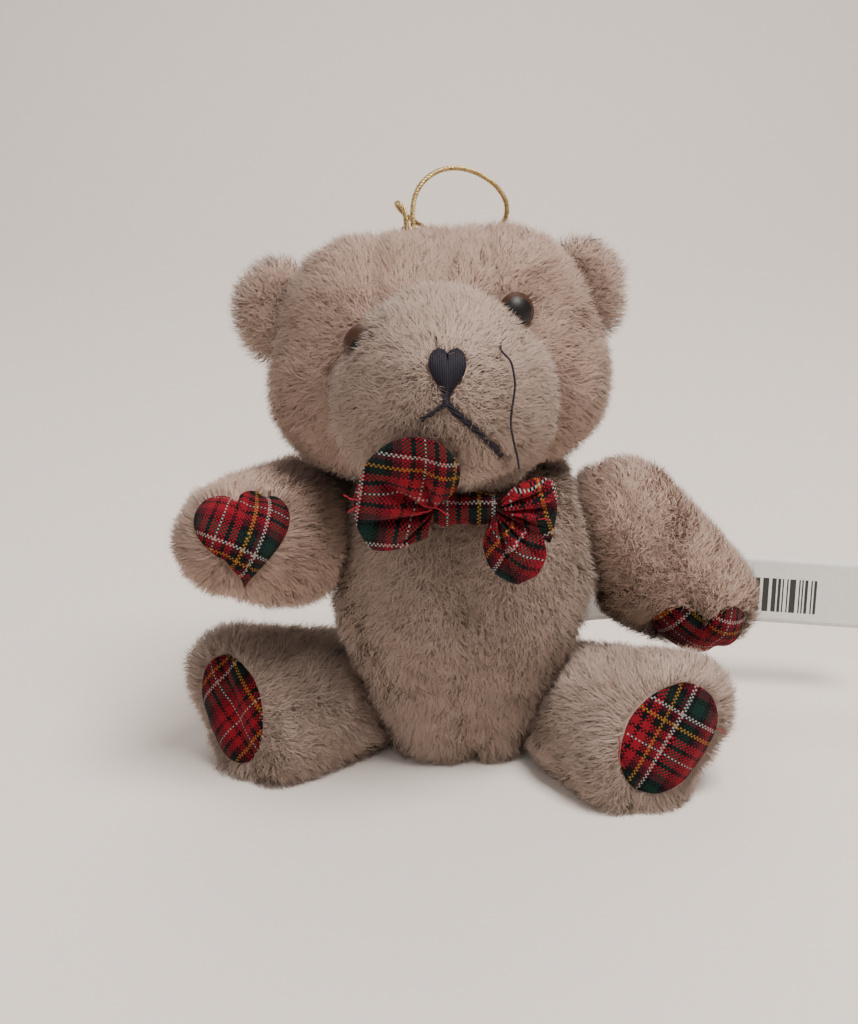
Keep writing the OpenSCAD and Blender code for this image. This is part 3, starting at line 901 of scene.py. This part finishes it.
pads = {
    "left_paw": make_pad("left", "paw", "arm", arms["left"], 30, (3, 2), HEART),
    "right_paw": make_pad("right", "paw", "arm", arms["right"], 30, (8, 13), HEART),
    "left_foot": make_pad("left", "foot", "leg", legs["left"], 32, (11, 6)),
    "right_foot": make_pad("right", "foot", "leg", legs["right"], 42, (0.5, 2.5), narrow=0.8),
}


# ---- Face

def lathe(profile, sides):
    """Points and faces of a closed turned form; profile is (radius, height) from the top."""
    points = [(0, 0, profile[0][1])]
    for radius, height in profile[1:-1]:
        points.extend((radius * math.cos(2 * math.pi * k / sides),
                       radius * math.sin(2 * math.pi * k / sides), height) for k in range(sides))
    points.append((0, 0, profile[-1][1]))
    rows = len(profile) - 2
    faces = [(0, 1 + k, 1 + (k + 1) % sides) for k in range(sides)]
    faces += flipped(quads(rows - 1, sides, 1))
    last = 1 + (rows - 1) * sides
    faces += [(len(points) - 1, last + (k + 1) % sides, last + k) for k in range(sides)]
    return points, faces


EYE_BROWN = plastic_material("eye_brown", (0.040, 0.016, 0.009), 0.42, Specular_IOR_Level=0.35)
EYE_BLACK = plastic_material("eye_black", (0.005, 0.004, 0.004), 0.45, Specular_IOR_Level=0.35)


def make_eye(name, node, pupil, aside):
    """A domed plastic eye with a black pupil, set aside in mm, on a short stem."""
    co = coordinates(NODES[node].data)
    outward = unit(co[np.argmax((co - HEAD) @ unit(middle(node) - HEAD))] - HEAD)
    axis = np.linalg.eigh(np.cov((co - co.mean(0)).T))[1][:, 2]
    facing = axis * np.sign(axis @ outward)
    front = ((co - co.mean(0)) @ facing).max()
    top = co.mean(0) + facing * front
    radius, dome, steps = 2.95, 2.3, 14
    profile = [(radius * math.sin(t), -dome + dome * math.cos(t))
               for t in np.linspace(0, math.pi / 2, steps)]
    profile += [(radius * 0.97, -dome - 0.35), (radius * 0.5, -dome - 0.5), (0, -dome - 0.5)]
    points, faces = lathe([(r * MM, h * MM) for r, h in profile], 64)
    turn = Vector(facing).to_track_quat("Z", "Y").to_matrix()
    points = [np.array(turn @ Vector(p)) + top for p in points]
    made = mesh_from(name, points, faces)
    eye = give(add_object(name, made), "head", [EYE_BROWN, EYE_BLACK], [node])
    side = unit(np.cross(UP, facing))
    pupil_at = top + MM * (aside[0] * side + aside[1] * np.cross(facing, side))
    for face in made.polygons:
        away = np.array(face.center) - pupil_at
        across = np.linalg.norm(away - facing * (away @ facing))
        face.material_index = 1 if across < pupil * MM else 0
    return eye


left_eye = make_eye("left_eye_dome", "left_eye", 2.2, (-0.6, -0.3))
right_eye = make_eye("right_eye_dome", "right_eye", 1.4, (0.9, -0.5))


def on_surface(surface, point, outward, rise):
    """The point of a surface that lies under a given point, raised by rise."""
    hit = surface.ray_cast(Vector(point + 15 * MM * outward), Vector(-outward))
    spot = np.array(hit[0]) if hit[0] is not None else point
    return spot + rise * outward


def make_nose():
    """A heart of upright satin stitches raised in a low dome, with a thicker stitch round its edge."""
    surface = tree(muzzle)
    centre = middle("nose")
    outward = unit(in_head(0.9, -30.5, 4.7) - in_head(0.7, -15, -3))
    right, up = facing_frame(outward)
    width, height = 5.4 * MM, 8.0 * MM
    x, y, widest = heart_outline()
    strands = []
    rng = np.random.default_rng(11)
    for share in np.linspace(-0.97, 0.97, 21):
        top = np.interp(abs(share) / 2, x[:widest], y[:widest]) + rng.uniform(-0.02, 0.02)
        bottom = np.interp(abs(share) / 2, x[widest:][::-1], y[widest:][::-1])
        levels = np.linspace(bottom, top, 9)
        line = []
        for level in levels:
            spot = centre + right * share * width / 2 + up * (level - 0.5) * height
            dome = 1 - (share * 0.9) ** 2
            part = (level - bottom) / max(top - bottom, 1e-6)
            ends = max(math.sin(math.pi * part), 0.0) ** 0.4
            line.append(on_surface(surface, spot, outward, (0.7 + 1.1 * dome * ends) * MM))
        strands.append(sweep(spline(line, 14), 0.19 * MM))
    edge = []
    for a, b in list(zip(x, y))[20:] + list(zip(-x, y))[:20:-1]:
        spot = centre + right * a * width * 0.93 + up * (b - 0.5) * height * 0.95
        edge.append(on_surface(surface, spot, outward, 0.75 * MM))
    strands.append(sweep(spline(edge[::8], 70), 0.3 * MM))
    return strand_piece("stitched_nose", strands, "head", FLOSS, ["nose"])


MOUTH_LINES = []


def make_mouth():
    """The mouth's long stitches, several strands of floss each, in the muzzle's pile."""
    surface = tree(muzzle)
    forward = unit(in_head(0.9, -30.5, -2) - in_head(0.7, -8, -2))
    strokes = (
        (((1.0, -31.6, 1.6), (1.0, -31.8, -0.2)), 5, 0.42),
        (((1.2, -31.8, 0.3), (-0.9, -31.8, -1.1), (-2.9, -31.5, -2.2)), 2, 0.24),
        (((0.9, -31.8, 0.4), (2.2, -31.7, -1.3), (3.6, -31.5, -2.8), (6.3, -30, -6),
          (8.9, -26.2, -10.1)), 5, 0.36),
    )
    strands = []
    for route, count, spread in strokes:
        line = spline([on_surface(surface, in_head(*p), forward, 1.4 * MM) for p in route], 40)
        MOUTH_LINES.append(line[::3] - 1.0 * MM * forward)
        along = unit(np.gradient(line, axis=0))
        side = unit(np.cross(along, forward))
        for k in range(count):
            angle = 2 * math.pi * (np.linspace(0, len(line) / 26, len(line)) + k / count)
            centre = line + spread * MM * (np.cos(angle)[:, None] * side * 0.9
                                           + 0.6 * np.sin(angle)[:, None] * forward)
            strands.append(sweep(centre, 0.18 * MM))
    strand_piece("stitched_mouth", strands, "head", FLOSS, ["mouth"])


nose = make_nose()
make_mouth()


def make_loop_knot():
    """The loop's overhand knot, sunk in the pile."""
    centre = middle("loop_knot")
    turns = np.linspace(0, 2 * math.pi, 90)
    line = [centre + MM * np.array([0.55 * (math.sin(t) + 1.2 * math.sin(2 * t)),
                                    0.55 * (math.cos(t) - 1.2 * math.cos(2 * t)),
                                    -0.6 * math.sin(3 * t)]) for t in turns]
    return strand_piece("gold_knot", [sweep(line, 0.38 * MM, 8)], "head", GOLD, ["loop_knot"])


loop_knot = make_loop_knot()


# ---- Bow

def fan(name, node, apex, outline, depth, pleats, turn, shift, seed):
    """A puffed loop of cloth that fans out from the bow's knot, as one closed surface.

    outline gives (angle in degrees, reach in mm, forward lean at the rim in mm) seen from the
    front, and depth is the loop's greatest thickness in mm."""
    known, known_reach, known_tilt = np.array(sorted(outline), float).T
    angles = np.radians(np.linspace(known[0], known[-1], 90))
    kernel = np.array([1, 2, 3, 2, 1]) / 9
    reach, tilt = (np.convolve(np.pad(np.interp(np.degrees(angles), known, values), 2, mode="edge"),
                               kernel, mode="valid") for values in (known_reach, known_tilt))
    rings = 26
    span = angles[-1] - angles[0]
    part = (angles - angles[0]) / span
    points, flat, loose = [], [], []
    rng = np.random.default_rng(seed)
    phase = rng.uniform(0, 1)
    for layer in (1, -1):
        for ring in range(rings + 1):
            share = ring / rings
            body = math.sin(math.pi * min(1, share ** 0.75)) ** 0.55 * math.sqrt(1 - share ** 6 * 0.999)
            for k, a in enumerate(angles):
                side = math.sin(math.pi * min(max(part[k], 0.0), 1.0)) ** 0.4
                fold = 2 * abs(math.sin(math.pi * (pleats * part[k] + phase))) ** 0.7 - 1.3
                fold *= 0.62 * (1 - 0.42 * share)
                wave = 0.18 * math.sin(2 * math.pi * (1.6 * part[k] + 0.8 * share + phase))
                thick = 0.5 * depth * body * side * max(1 + fold + wave, 0.1) + 0.12 * side
                r = reach[k] * share
                y = -tilt[k] * share ** 0.7 - layer * thick
                points.append(np.array(apex) + MM * np.array([r * math.cos(a), y, r * math.sin(a)]))
                loose.append(side * (1 - share ** 6) * layer)
                swirl = 0.25 * (1 - share)
                flat.append((r * math.cos(a + swirl), r * math.sin(a + swirl) + layer * 3.0))
    count = len(angles)
    back = (rings + 1) * count
    faces = [face[::-1] for face in quads(rings, count, closed=False)]
    faces += quads(rings, count, back, closed=False)
    edge = [i * count for i in range(rings)] + list(range(rings * count, back))
    edge += [i * count + count - 1 for i in reversed(range(rings))]
    faces += [(p, q, back + q, back + p) for p, q in zip(edge, edge[1:])]
    points = np.array(points)
    points[:, 1] += 0.4 * MM * np.array(loose) * smooth_field(points, 5 * MM, seed)
    mesh = mesh_from(name, points, faces)
    weave(mesh, flat, turn, shift, 0.02)
    obj = give(add_object(name, mesh), "torso", [TARTAN], [node] if node else [])
    return obj


LEFT_APEX = middle("bow_knot") + MM * np.array([-5.15, -6.6026, 1.9026])
RIGHT_APEX = middle("bow_knot") + MM * np.array([4.45, -5.8026, 1.7026])
bow_left = fan("bow_left_cloth", "bow_left_loop", LEFT_APEX,
               ((52, 5.0, 5.5), (66, 9.5, 9.0), (82, 12.6, 10.5), (98, 14.2, 10.6), (114, 14.6, 9.6),
                (132, 14.0, 8.0), (152, 13.0, 6.6), (176, 12.4, 5.6), (196, 11.6, 5.0),
                (211, 10.9, 4.6), (218, 9.4, 4.2), (236, 5.8, 3.2), (256, 4.2, 2.6)),
               6.4, 5, 8, (7.1, 13.4), 21)
bow_right_top = fan("bow_right_cloth", "bow_right_loop", RIGHT_APEX,
                    ((52, 3.6, 0.4), (36, 8.6, 0.6), (26, 10.0, 0.8), (4, 9.6, 1.0), (-14, 9.6, 1.0),
                     (-34, 10.4, 0.8)), 4.4, 4, -18, (0, 14), 22)
fan("bow_right_tail_cloth", None, RIGHT_APEX + np.array([0, -0.6, -0.6]) * MM,
    ((-26, 8.0, 0.9), (-40, 10.6, 0.9), (-56, 12.2, 0.9), (-74, 12.4, 0.8),
     (-92, 9.8, 0.6), (-114, 4.6, 0.4)), 4.2, 3, 34, (7, 3), 23)


def make_bow_knot():
    """The band round the bow's middle and the folded cloth behind it, down to the chest."""
    x0, y0, z0 = middle("bow_knot") / MM
    count, rings = 36, 30
    points, flat = [], []
    for i in range(rings + 1):
        x = -5.1 + 10.0 * i / rings
        pinch = 1 - 0.16 * math.cos(math.pi * (x + 0.3) / 5) ** 2
        for k in range(count):
            a = 2 * math.pi * k / count
            wrinkle = 1 + 0.05 * math.sin(3 * a + 1.4 * x) + 0.04 * math.sin(7 * a - 0.8 * x)
            points.append((x0 + x - 0.25, y0 - 5.3026 + 2.0 * pinch * wrinkle * math.cos(a),
                           z0 + 1.2026 + 2.75 * pinch * wrinkle * math.sin(a)))
            flat.append((x, a * 2.6))
    stalk = len(points)
    faces = quads(rings, count) + [tuple(range(count))[::-1], tuple(range(stalk - count, stalk))]
    depth = np.linspace(y0 - 3.9026, box_of("bow_knot")[1][1] / MM - 0.3, 12)
    for y, share in zip(depth, np.linspace(0, 1, len(depth))):
        for k in range(count):
            a = 2 * math.pi * k / count
            points.append((x0 + 0.15 + 2.6 * math.cos(a), y, z0 + 0.7026 - 1.8 * share + 1.5 * math.sin(a)))
            flat.append((2.6 * a, y))
    faces += quads(len(depth) - 1, count, stalk)
    mesh = mesh_from("bow_knot_cloth", MM * np.array(points), faces)
    weave(mesh, flat, 0, (6.2, 4))
    return give(add_object("bow_knot_cloth", mesh), "torso", [TARTAN], ["bow_knot"])


bow_knot = make_bow_knot()


def yarn_ends(name, body, ends, colour):
    """Loose yarns at cut cloth: each end is (root, way out, length in mm, curl)."""
    strands = []
    for root, way, length, curl in ends:
        way = unit(way)
        side = unit(np.cross(way, [0.3, -1, 0.2]))
        run = np.linspace(0, 1, 9)
        line = [root + MM * length * (t * way + curl * t * t * side + 0.03 * math.sin(9 * t) * side)
                for t in run]
        strands.append(sweep(spline(line, 24), 0.1 * MM))
    strand_piece(name, strands, body, floss_material(name + "_yarn", colour, 0.7))


def bow_yarns():
    """Frayed red yarns where the bow's cloth was cut."""
    ends = []
    for cloth, apex, spots in (
            (bow_left, LEFT_APEX, ((-12.6, 3.0, (-1, -0.3, 0.25), 2.4, 0.2),
                                   (-12.6, 1.8, (-1, -0.2, -0.2), 1.8, -0.3),
                                   (-2.0, 1.6, (1, -0.35, -0.12), 4.4, 0.15),
                                   (-2.6, 0.2, (1, -0.4, 0.1), 3.2, -0.25))),
            (bow_right_top, RIGHT_APEX, ((9.6, -1.8, (1, -0.3, 0.3), 1.9, 0.3),
                                         (9.6, 2.4, (1, -0.2, -0.1), 1.4, -0.3)))):
        for dx, dz, way, length, curl in spots:
            spot = Vector(apex + MM * np.array([dx, -8, dz]))
            ends.append((np.array(tree(cloth).find_nearest(spot)[0]), way, length, curl))
    yarn_ends("bow_red_yarns", "torso", ends, RED)


def pad_yarn(name, pad, body, angle, way, length, curl, colour):
    """One loose yarn from the edge of a pad, at an angle round it from the right."""
    co = coordinates(pads[pad].data)
    out = np.array([math.cos(math.radians(angle)), 0, math.sin(math.radians(angle))])
    edge = co[np.argmax((co - co.mean(0)) @ out)]
    yarn_ends(name, body, [(edge, way, length, curl)], colour)


bow_yarns()
pad_yarn("right_paw_yarn", "right_paw", "right_arm", 200, (1, -0.5, -0.15), 4.6, 0.25, YELLOW)
pad_yarn("left_foot_yarn", "left_foot", "left_leg", 205, (-0.25, -0.35, 1), 9.0, 0.06, RED)
pad_yarn("left_foot_short_yarn", "left_foot", "left_leg", 350, (1, -0.5, -0.1), 1.8, 0.3, RED)


# ---- Care label

def make_label():
    """A folded satin tape sewn into the torso's side seam, worked out in millimetres."""
    low, high = box_of("care_label") / np.array(MM)
    width = high[2] - low[2]
    line = spline([(low[0] + x, low[1] + y, 0) for x, y in (
        (0, 0.5), (8.5, 3.3), (20.5, 5.7), (34.5, 6.3), (48.5, 5.1), (64, 2.7))], 90)
    rows = fold = 14
    away = 0.38      # half the gap between the two layers
    end_x, end_y = line[-1][:2]
    sheet = [(x, y - away, x) for x, y, z in line]
    for a in np.arange(1, fold) * math.pi / fold:
        sheet.append((end_x + away * math.sin(a) * 1.2, end_y - away * math.cos(a), end_x + away * a))
    sheet += [(x, y + away, 2 * end_x - x + 1.2) for x, y, z in line[::-1]]
    points, flat = [], []
    for x, y, run_at in sheet:
        for j in range(rows + 1):
            share = j / rows
            curl = 0.25 * math.sin(2.2 * share + x * 0.12) * math.sin(0.09 * x)
            z = low[2] + width * share + 0.5 * math.sin(x * 0.06) - 0.25
            points.append(MM * np.array([x, y + curl * 0.4, z]))
            flat.append((run_at, width * share))
    mesh = mesh_from("label_tape", points, flipped(quads(len(sheet) - 1, rows + 1, closed=False)))
    set_cloth(mesh, flat)
    obj = add_object("label_tape", mesh)
    thick = obj.modifiers.new("thick", "SOLIDIFY")
    thick.thickness = 0.16 * MM
    thick.offset = 0
    applied(obj)
    give(obj, "torso", [satin_material()], ["care_label"])


make_label()


# ---- Pile

def scatter(mesh, per_mm2, rng):
    """Points spread evenly over a mesh, with the surface's normals there."""
    mesh.calc_loop_triangles()
    corners = np.empty(len(mesh.loop_triangles) * 3, np.int32)
    mesh.loop_triangles.foreach_get("vertices", corners)
    corners = corners.reshape(-1, 3)
    co, normals = coordinates(mesh), vertex_normals(mesh)
    a, b, c = co[corners[:, 0]], co[corners[:, 1]], co[corners[:, 2]]
    area = np.linalg.norm(np.cross(b - a, c - a), axis=1) / 2
    count = int(area.sum() / MM ** 2 * per_mm2)
    chosen = corners[np.searchsorted(np.cumsum(area) / area.sum(), rng.random(count))]
    p, q = rng.random((2, count, 1))
    flip = p + q > 1
    p, q = np.where(flip, 1 - p, p), np.where(flip, 1 - q, q)
    weights = (1 - p - q, p, q)
    place = sum(w * co[chosen[:, k]] for k, w in enumerate(weights))
    normal = unit(sum(w * normals[chosen[:, k]] for k, w in enumerate(weights)))
    return place, normal


def uncovered(place, normal, covers, height):
    """Which points have none of the covering pieces over them, nor are inside one."""
    below = place - 0.3 * MM * normal
    return np.array([all(surface.ray_cast(Vector(spot), Vector(up), height)[0] is None
                         for surface in covers) for spot, up in zip(below, normal)], bool)


def outside(place, others, margin):
    """Which points lie outside the other closed skins."""
    def clear(point, surface):
        spot, normal, index, distance = surface.find_nearest(point, 5 * MM)
        return spot is None or (point - spot).dot(normal) >= margin
    return np.array([all(clear(Vector(point), surface) for surface in others) for point in place], bool)


def joint_faces(place, normal, body, meets):
    """Which points are on the flat faces at the joints, and which of those the next part covers."""
    flat = np.zeros(len(place), bool)
    for point, out in joint_planes(body):
        flat |= (np.abs((place - point) @ out) < 1.0 * MM) & (normal @ out > 0.75)
    covered = np.zeros(len(place), bool)
    for i in np.nonzero(flat)[0]:
        covered[i] = any(surface.find_nearest(Vector(place[i]), 1.8 * MM)[0] is not None
                         for surface in meets)
    return flat, covered


def parted(place, normal, lines, reach):
    """Nearness, from 0 to 1, to lines that the pile is parted along, and the way off them."""
    if not lines:
        return np.zeros(len(place)), np.zeros_like(place)
    points = np.vstack(lines)
    index = KDTree(len(points))
    for k, point in enumerate(points):
        index.insert(Vector(point), k)
    index.balance()
    near = np.empty(len(place))
    away = np.empty_like(place)
    for i, spot in enumerate(place):
        point, k, distance = index.find(Vector(spot))
        near[i] = distance
        away[i] = spot - np.array(point)
    return near / reach, across(away, normal)


def make_pile(name, skin, body, materials, comb, seed, length=3.1, per_mm2=15.0, lean=34,
              bare=(), others=(), meets=(), away_from=(), dark=None, width=0.1, lines=(),
              parting=1.0, pieces=2):
    """Plush fibres as thin curved blades rooted all over a skin, in a few pieces.

    comb gives the way the nap runs at each point, bare the pieces that cover the skin, others
    the skins that it runs into, meets the skins across its joints, away_from pads that fibres
    lean away from, dark a shade shift, and lines the stitches that the pile is parted along, by
    about parting mm."""
    rng = np.random.default_rng(seed)
    place, normal = scatter(skin.data, per_mm2, rng)
    flat, covered = joint_faces(place, normal, body, meets)
    keep = ~covered & (place[:, 2] > 0.2 * MM)
    keep[keep] = uncovered(place[keep], normal[keep], bare, 2.2 * MM)
    keep[keep] = outside(place[keep], others, 0.1 * MM)
    place, normal, flat = place[keep], normal[keep], flat[keep]
    near, off = parted(place, normal, lines, parting * MM)
    if lines:
        keep = near > 1.0 + 0.25 * rng.normal(size=len(near))
        place, normal, near, off, flat = (v[keep] for v in (place, normal, near, off, flat))
    count = len(place)
    nap = across(comb(place), normal)
    swirl = 0.9 * smooth_field(place, 11 * MM, seed + 1) + rng.normal(0, 0.7, count)
    nap = turned(nap, normal, swirl)
    tilt = np.radians(lean + 12 * smooth_field(place, 5 * MM, seed + 2) + rng.normal(0, 11, count))
    tilt = np.maximum(tilt, 0.12)
    size = length * MM * (1 + 0.12 * smooth_field(place, 6 * MM, seed + 3)) * rng.uniform(0.7, 1.12, count)
    size[flat] *= 0.6
    if lines:
        lay = np.clip(2.2 - near, 0, 1)[:, None]
        nap = unit(nap * (1 - lay) + 1.4 * off * lay)
        tilt = tilt * (1 - 0.3 * lay[:, 0]) + 0.25 * lay[:, 0]
        size *= 1 - 0.3 * lay[:, 0]
    for centre, reach in away_from:
        away = place - centre
        close = np.clip(1.6 - np.linalg.norm(away, axis=1) / reach, 0, 1)[:, None]
        nap = unit(nap * (1 - close) + 1.5 * across(away, normal) * close)
        size *= 1 - 0.2 * close[:, 0]
    first, second = np.maximum(tilt - 0.3, 0.06)[:, None], np.minimum(tilt + 0.45, 1.4)[:, None]
    half = size[:, None] / 2
    bend = place + half * (normal * np.cos(first) + nap * np.sin(first))
    tip = bend + half * (normal * np.cos(second) + nap * np.sin(second))
    tuft = 0.26 * MM * np.stack([smooth_field(place, 2.3 * MM, seed + k) for k in (4, 5, 6)], 1)
    tip += tuft
    bend += 0.4 * tuft
    tip[:, 2] = np.maximum(tip[:, 2], 0.1 * MM)
    bend[:, 2] = np.maximum(bend[:, 2], 0.12 * MM)
    blade = turned(unit(np.cross(nap, normal)), unit(tip - place), rng.normal(0, 0.7, count))
    thick = 0.5 * width * MM * rng.uniform(0.75, 1.2, count)[:, None]
    root = place - 0.2 * MM * normal
    points = np.stack([root - blade * thick, root + blade * thick,
                       bend + blade * thick * 0.85, bend - blade * thick * 0.85, tip], 1)
    shade = 2.6 + 1.0 * smooth_field(place, 2.6 * MM, seed + 7) + 0.8 * smooth_field(place, 13 * MM, seed + 8)
    shade += rng.normal(0, 0.55, count)
    if dark is not None:
        shade += dark(place)
    top = len(materials) - 1
    # Each blade's root half is one shade darker than its tip: painted shade deep in the pile, over the
    # fibres' random tone.
    tone_and_root_shade = np.clip(np.round(np.stack([shade - 0.6, shade + 0.4], 1)), 0, top).astype(np.int32)
    soft = unit(normal + 0.28 * (tip - place) / size[:, None] + rng.normal(0, 0.07, (count, 3)))
    for piece in range(pieces):
        part = slice(piece, None, pieces)
        add_blades(f"{name}_{piece + 1}" if pieces > 1 else name, points[part], tone_and_root_shade[part],
                   soft[part], body, materials)


def add_blades(name, points, tone_and_root_shade, normals, body, materials):
    """One mesh of blades, each a quad and a pointed tip that share one normal."""
    count = len(points)
    loops = (np.arange(count)[:, None] * 5 + np.array([[0, 1, 2, 3, 3, 2, 4]])).ravel()
    starts = (np.arange(count)[:, None] * 7 + np.array([[0, 4]])).ravel()
    mesh = bpy.data.meshes.new(name)
    mesh.vertices.add(count * 5)
    mesh.vertices.foreach_set("co", points.astype(np.float32).ravel())
    mesh.loops.add(len(loops))
    mesh.loops.foreach_set("vertex_index", loops.astype(np.int32))
    mesh.polygons.add(count * 2)
    mesh.polygons.foreach_set("loop_start", starts.astype(np.int32))
    mesh.update(calc_edges=True)
    mesh.shade_smooth()
    mesh.normals_split_custom_set_from_vertices(np.repeat(normals, 5, axis=0).tolist())
    give(add_object(name, mesh), body, materials)
    mesh.polygons.foreach_set("material_index", tone_and_root_shade.ravel())


def downward(place):
    return np.tile([0.0, -0.15, -1.0], (len(place), 1))


def from_nose(place):
    nose_at = in_head(1, -28, 5)
    return unit(place - nose_at) + np.array([0, 0.25, -0.35])


def from_head(place):
    return unit(place - in_head(0, 6, 2)) + np.array([0, 0.1, 0.1])


def along_limb(joint, pad):
    """The nap runs away from the pad, and stands up off the torso near the joint."""
    point, out, along = limb_frame(joint, pad)

    def comb(place):
        near = np.clip((place - point) @ out / (5 * MM), 0, 1)[:, None]
        return near * unit(place - middle(pad)) + (1 - near) * 0.6 * out - 0.12 * UP
    return comb


def head_dark(place):
    """The head is a little darker on top and at the sides."""
    local = place - HEAD
    return -0.6 * np.clip(local @ HEAD_UP / (18 * MM), -0.5, 1) - 0.3


def ear_light(place):
    """The ears are a little lighter than the head."""
    return np.full(len(place), 0.7)


def rim(node, radius):
    """Points round an eye that the pile is parted along."""
    centre = middle(node)
    outward = unit(centre - HEAD)
    side = unit(np.cross(UP, outward))
    other = np.cross(outward, side)
    return np.array([centre + radius * MM * (math.cos(t) * side + math.sin(t) * other)
                     for t in np.linspace(0, 2 * math.pi, 24)])


eyes = [tree(left_eye), tree(right_eye)]
eye_rims = [rim("left_eye", 2.0), rim("right_eye", 2.0), middle("left_eye")[None], middle("right_eye")[None]]
face_lines = eye_rims + MOUTH_LINES
limbs = [tree(limb) for limb in (legs["left"], legs["right"], arms["left"], arms["right"])]
make_pile("torso_pile", torso, "torso", LIGHT_PILE, downward, 100,
          bare=[tree(bow_knot)], others=limbs, meets=limbs + [tree(head)])
make_pile("head_pile", head, "head", PLUSH_PILE, from_nose, 200, length=3.3,
          bare=eyes + [tree(loop_knot)], others=[tree(muzzle), tree(ears["left"]), tree(ears["right"])],
          meets=[tree(torso)], dark=head_dark, lines=eye_rims, pieces=3)
make_pile("muzzle_pile", muzzle, "head", LIGHT_PILE, from_nose, 300, length=2.7,
          bare=eyes + [tree(nose)], others=[tree(head)], per_mm2=17, lines=face_lines, parting=0.5)
for side, seed in (("left", 400), ("right", 450)):
    make_pile(f"{side}_ear_pile", ears[side], "head", PLUSH_PILE, from_head, seed, length=3.6,
              per_mm2=22, others=[tree(head)], dark=ear_light, width=0.085)
for limb, skins, joint, pad, slot, pile, reach, first_seed in (
        ("arm", arms, "shoulder", "paw", "plush", PLUSH_PILE, 8, 500),
        ("leg", legs, "hip", "foot", "light_plush", LIGHT_PILE, 9, 600)):
    for side, seed in (("left", first_seed), ("right", first_seed + 50)):
        make_pile(f"{side}_{limb}_pile", skins[side], f"{side}_{limb}", pile,
                  along_limb(f"{side}_{joint}", f"{side}_{pad}_pad"), seed, others=[tree(torso)],
                  meets=[tree(torso)], bare=[tree(pads[f"{side}_{pad}"])],
                  away_from=[(middle(f"{side}_{pad}_pad"), reach * MM)])


# ---- Inner hardware

JOINT_PLASTIC = plastic_material("moulded_plastic", (0.74, 0.72, 0.66), 0.5)
LOCK_STEEL = steel_material()
for node_name, node_object in NODES.items():
    is_lock = node_name.endswith("lock")
    if is_lock or "washer" in node_name or "stud" in node_name:
        node_object.data.materials.clear()
        node_object.data.materials.append(LOCK_STEEL if is_lock else JOINT_PLASTIC)
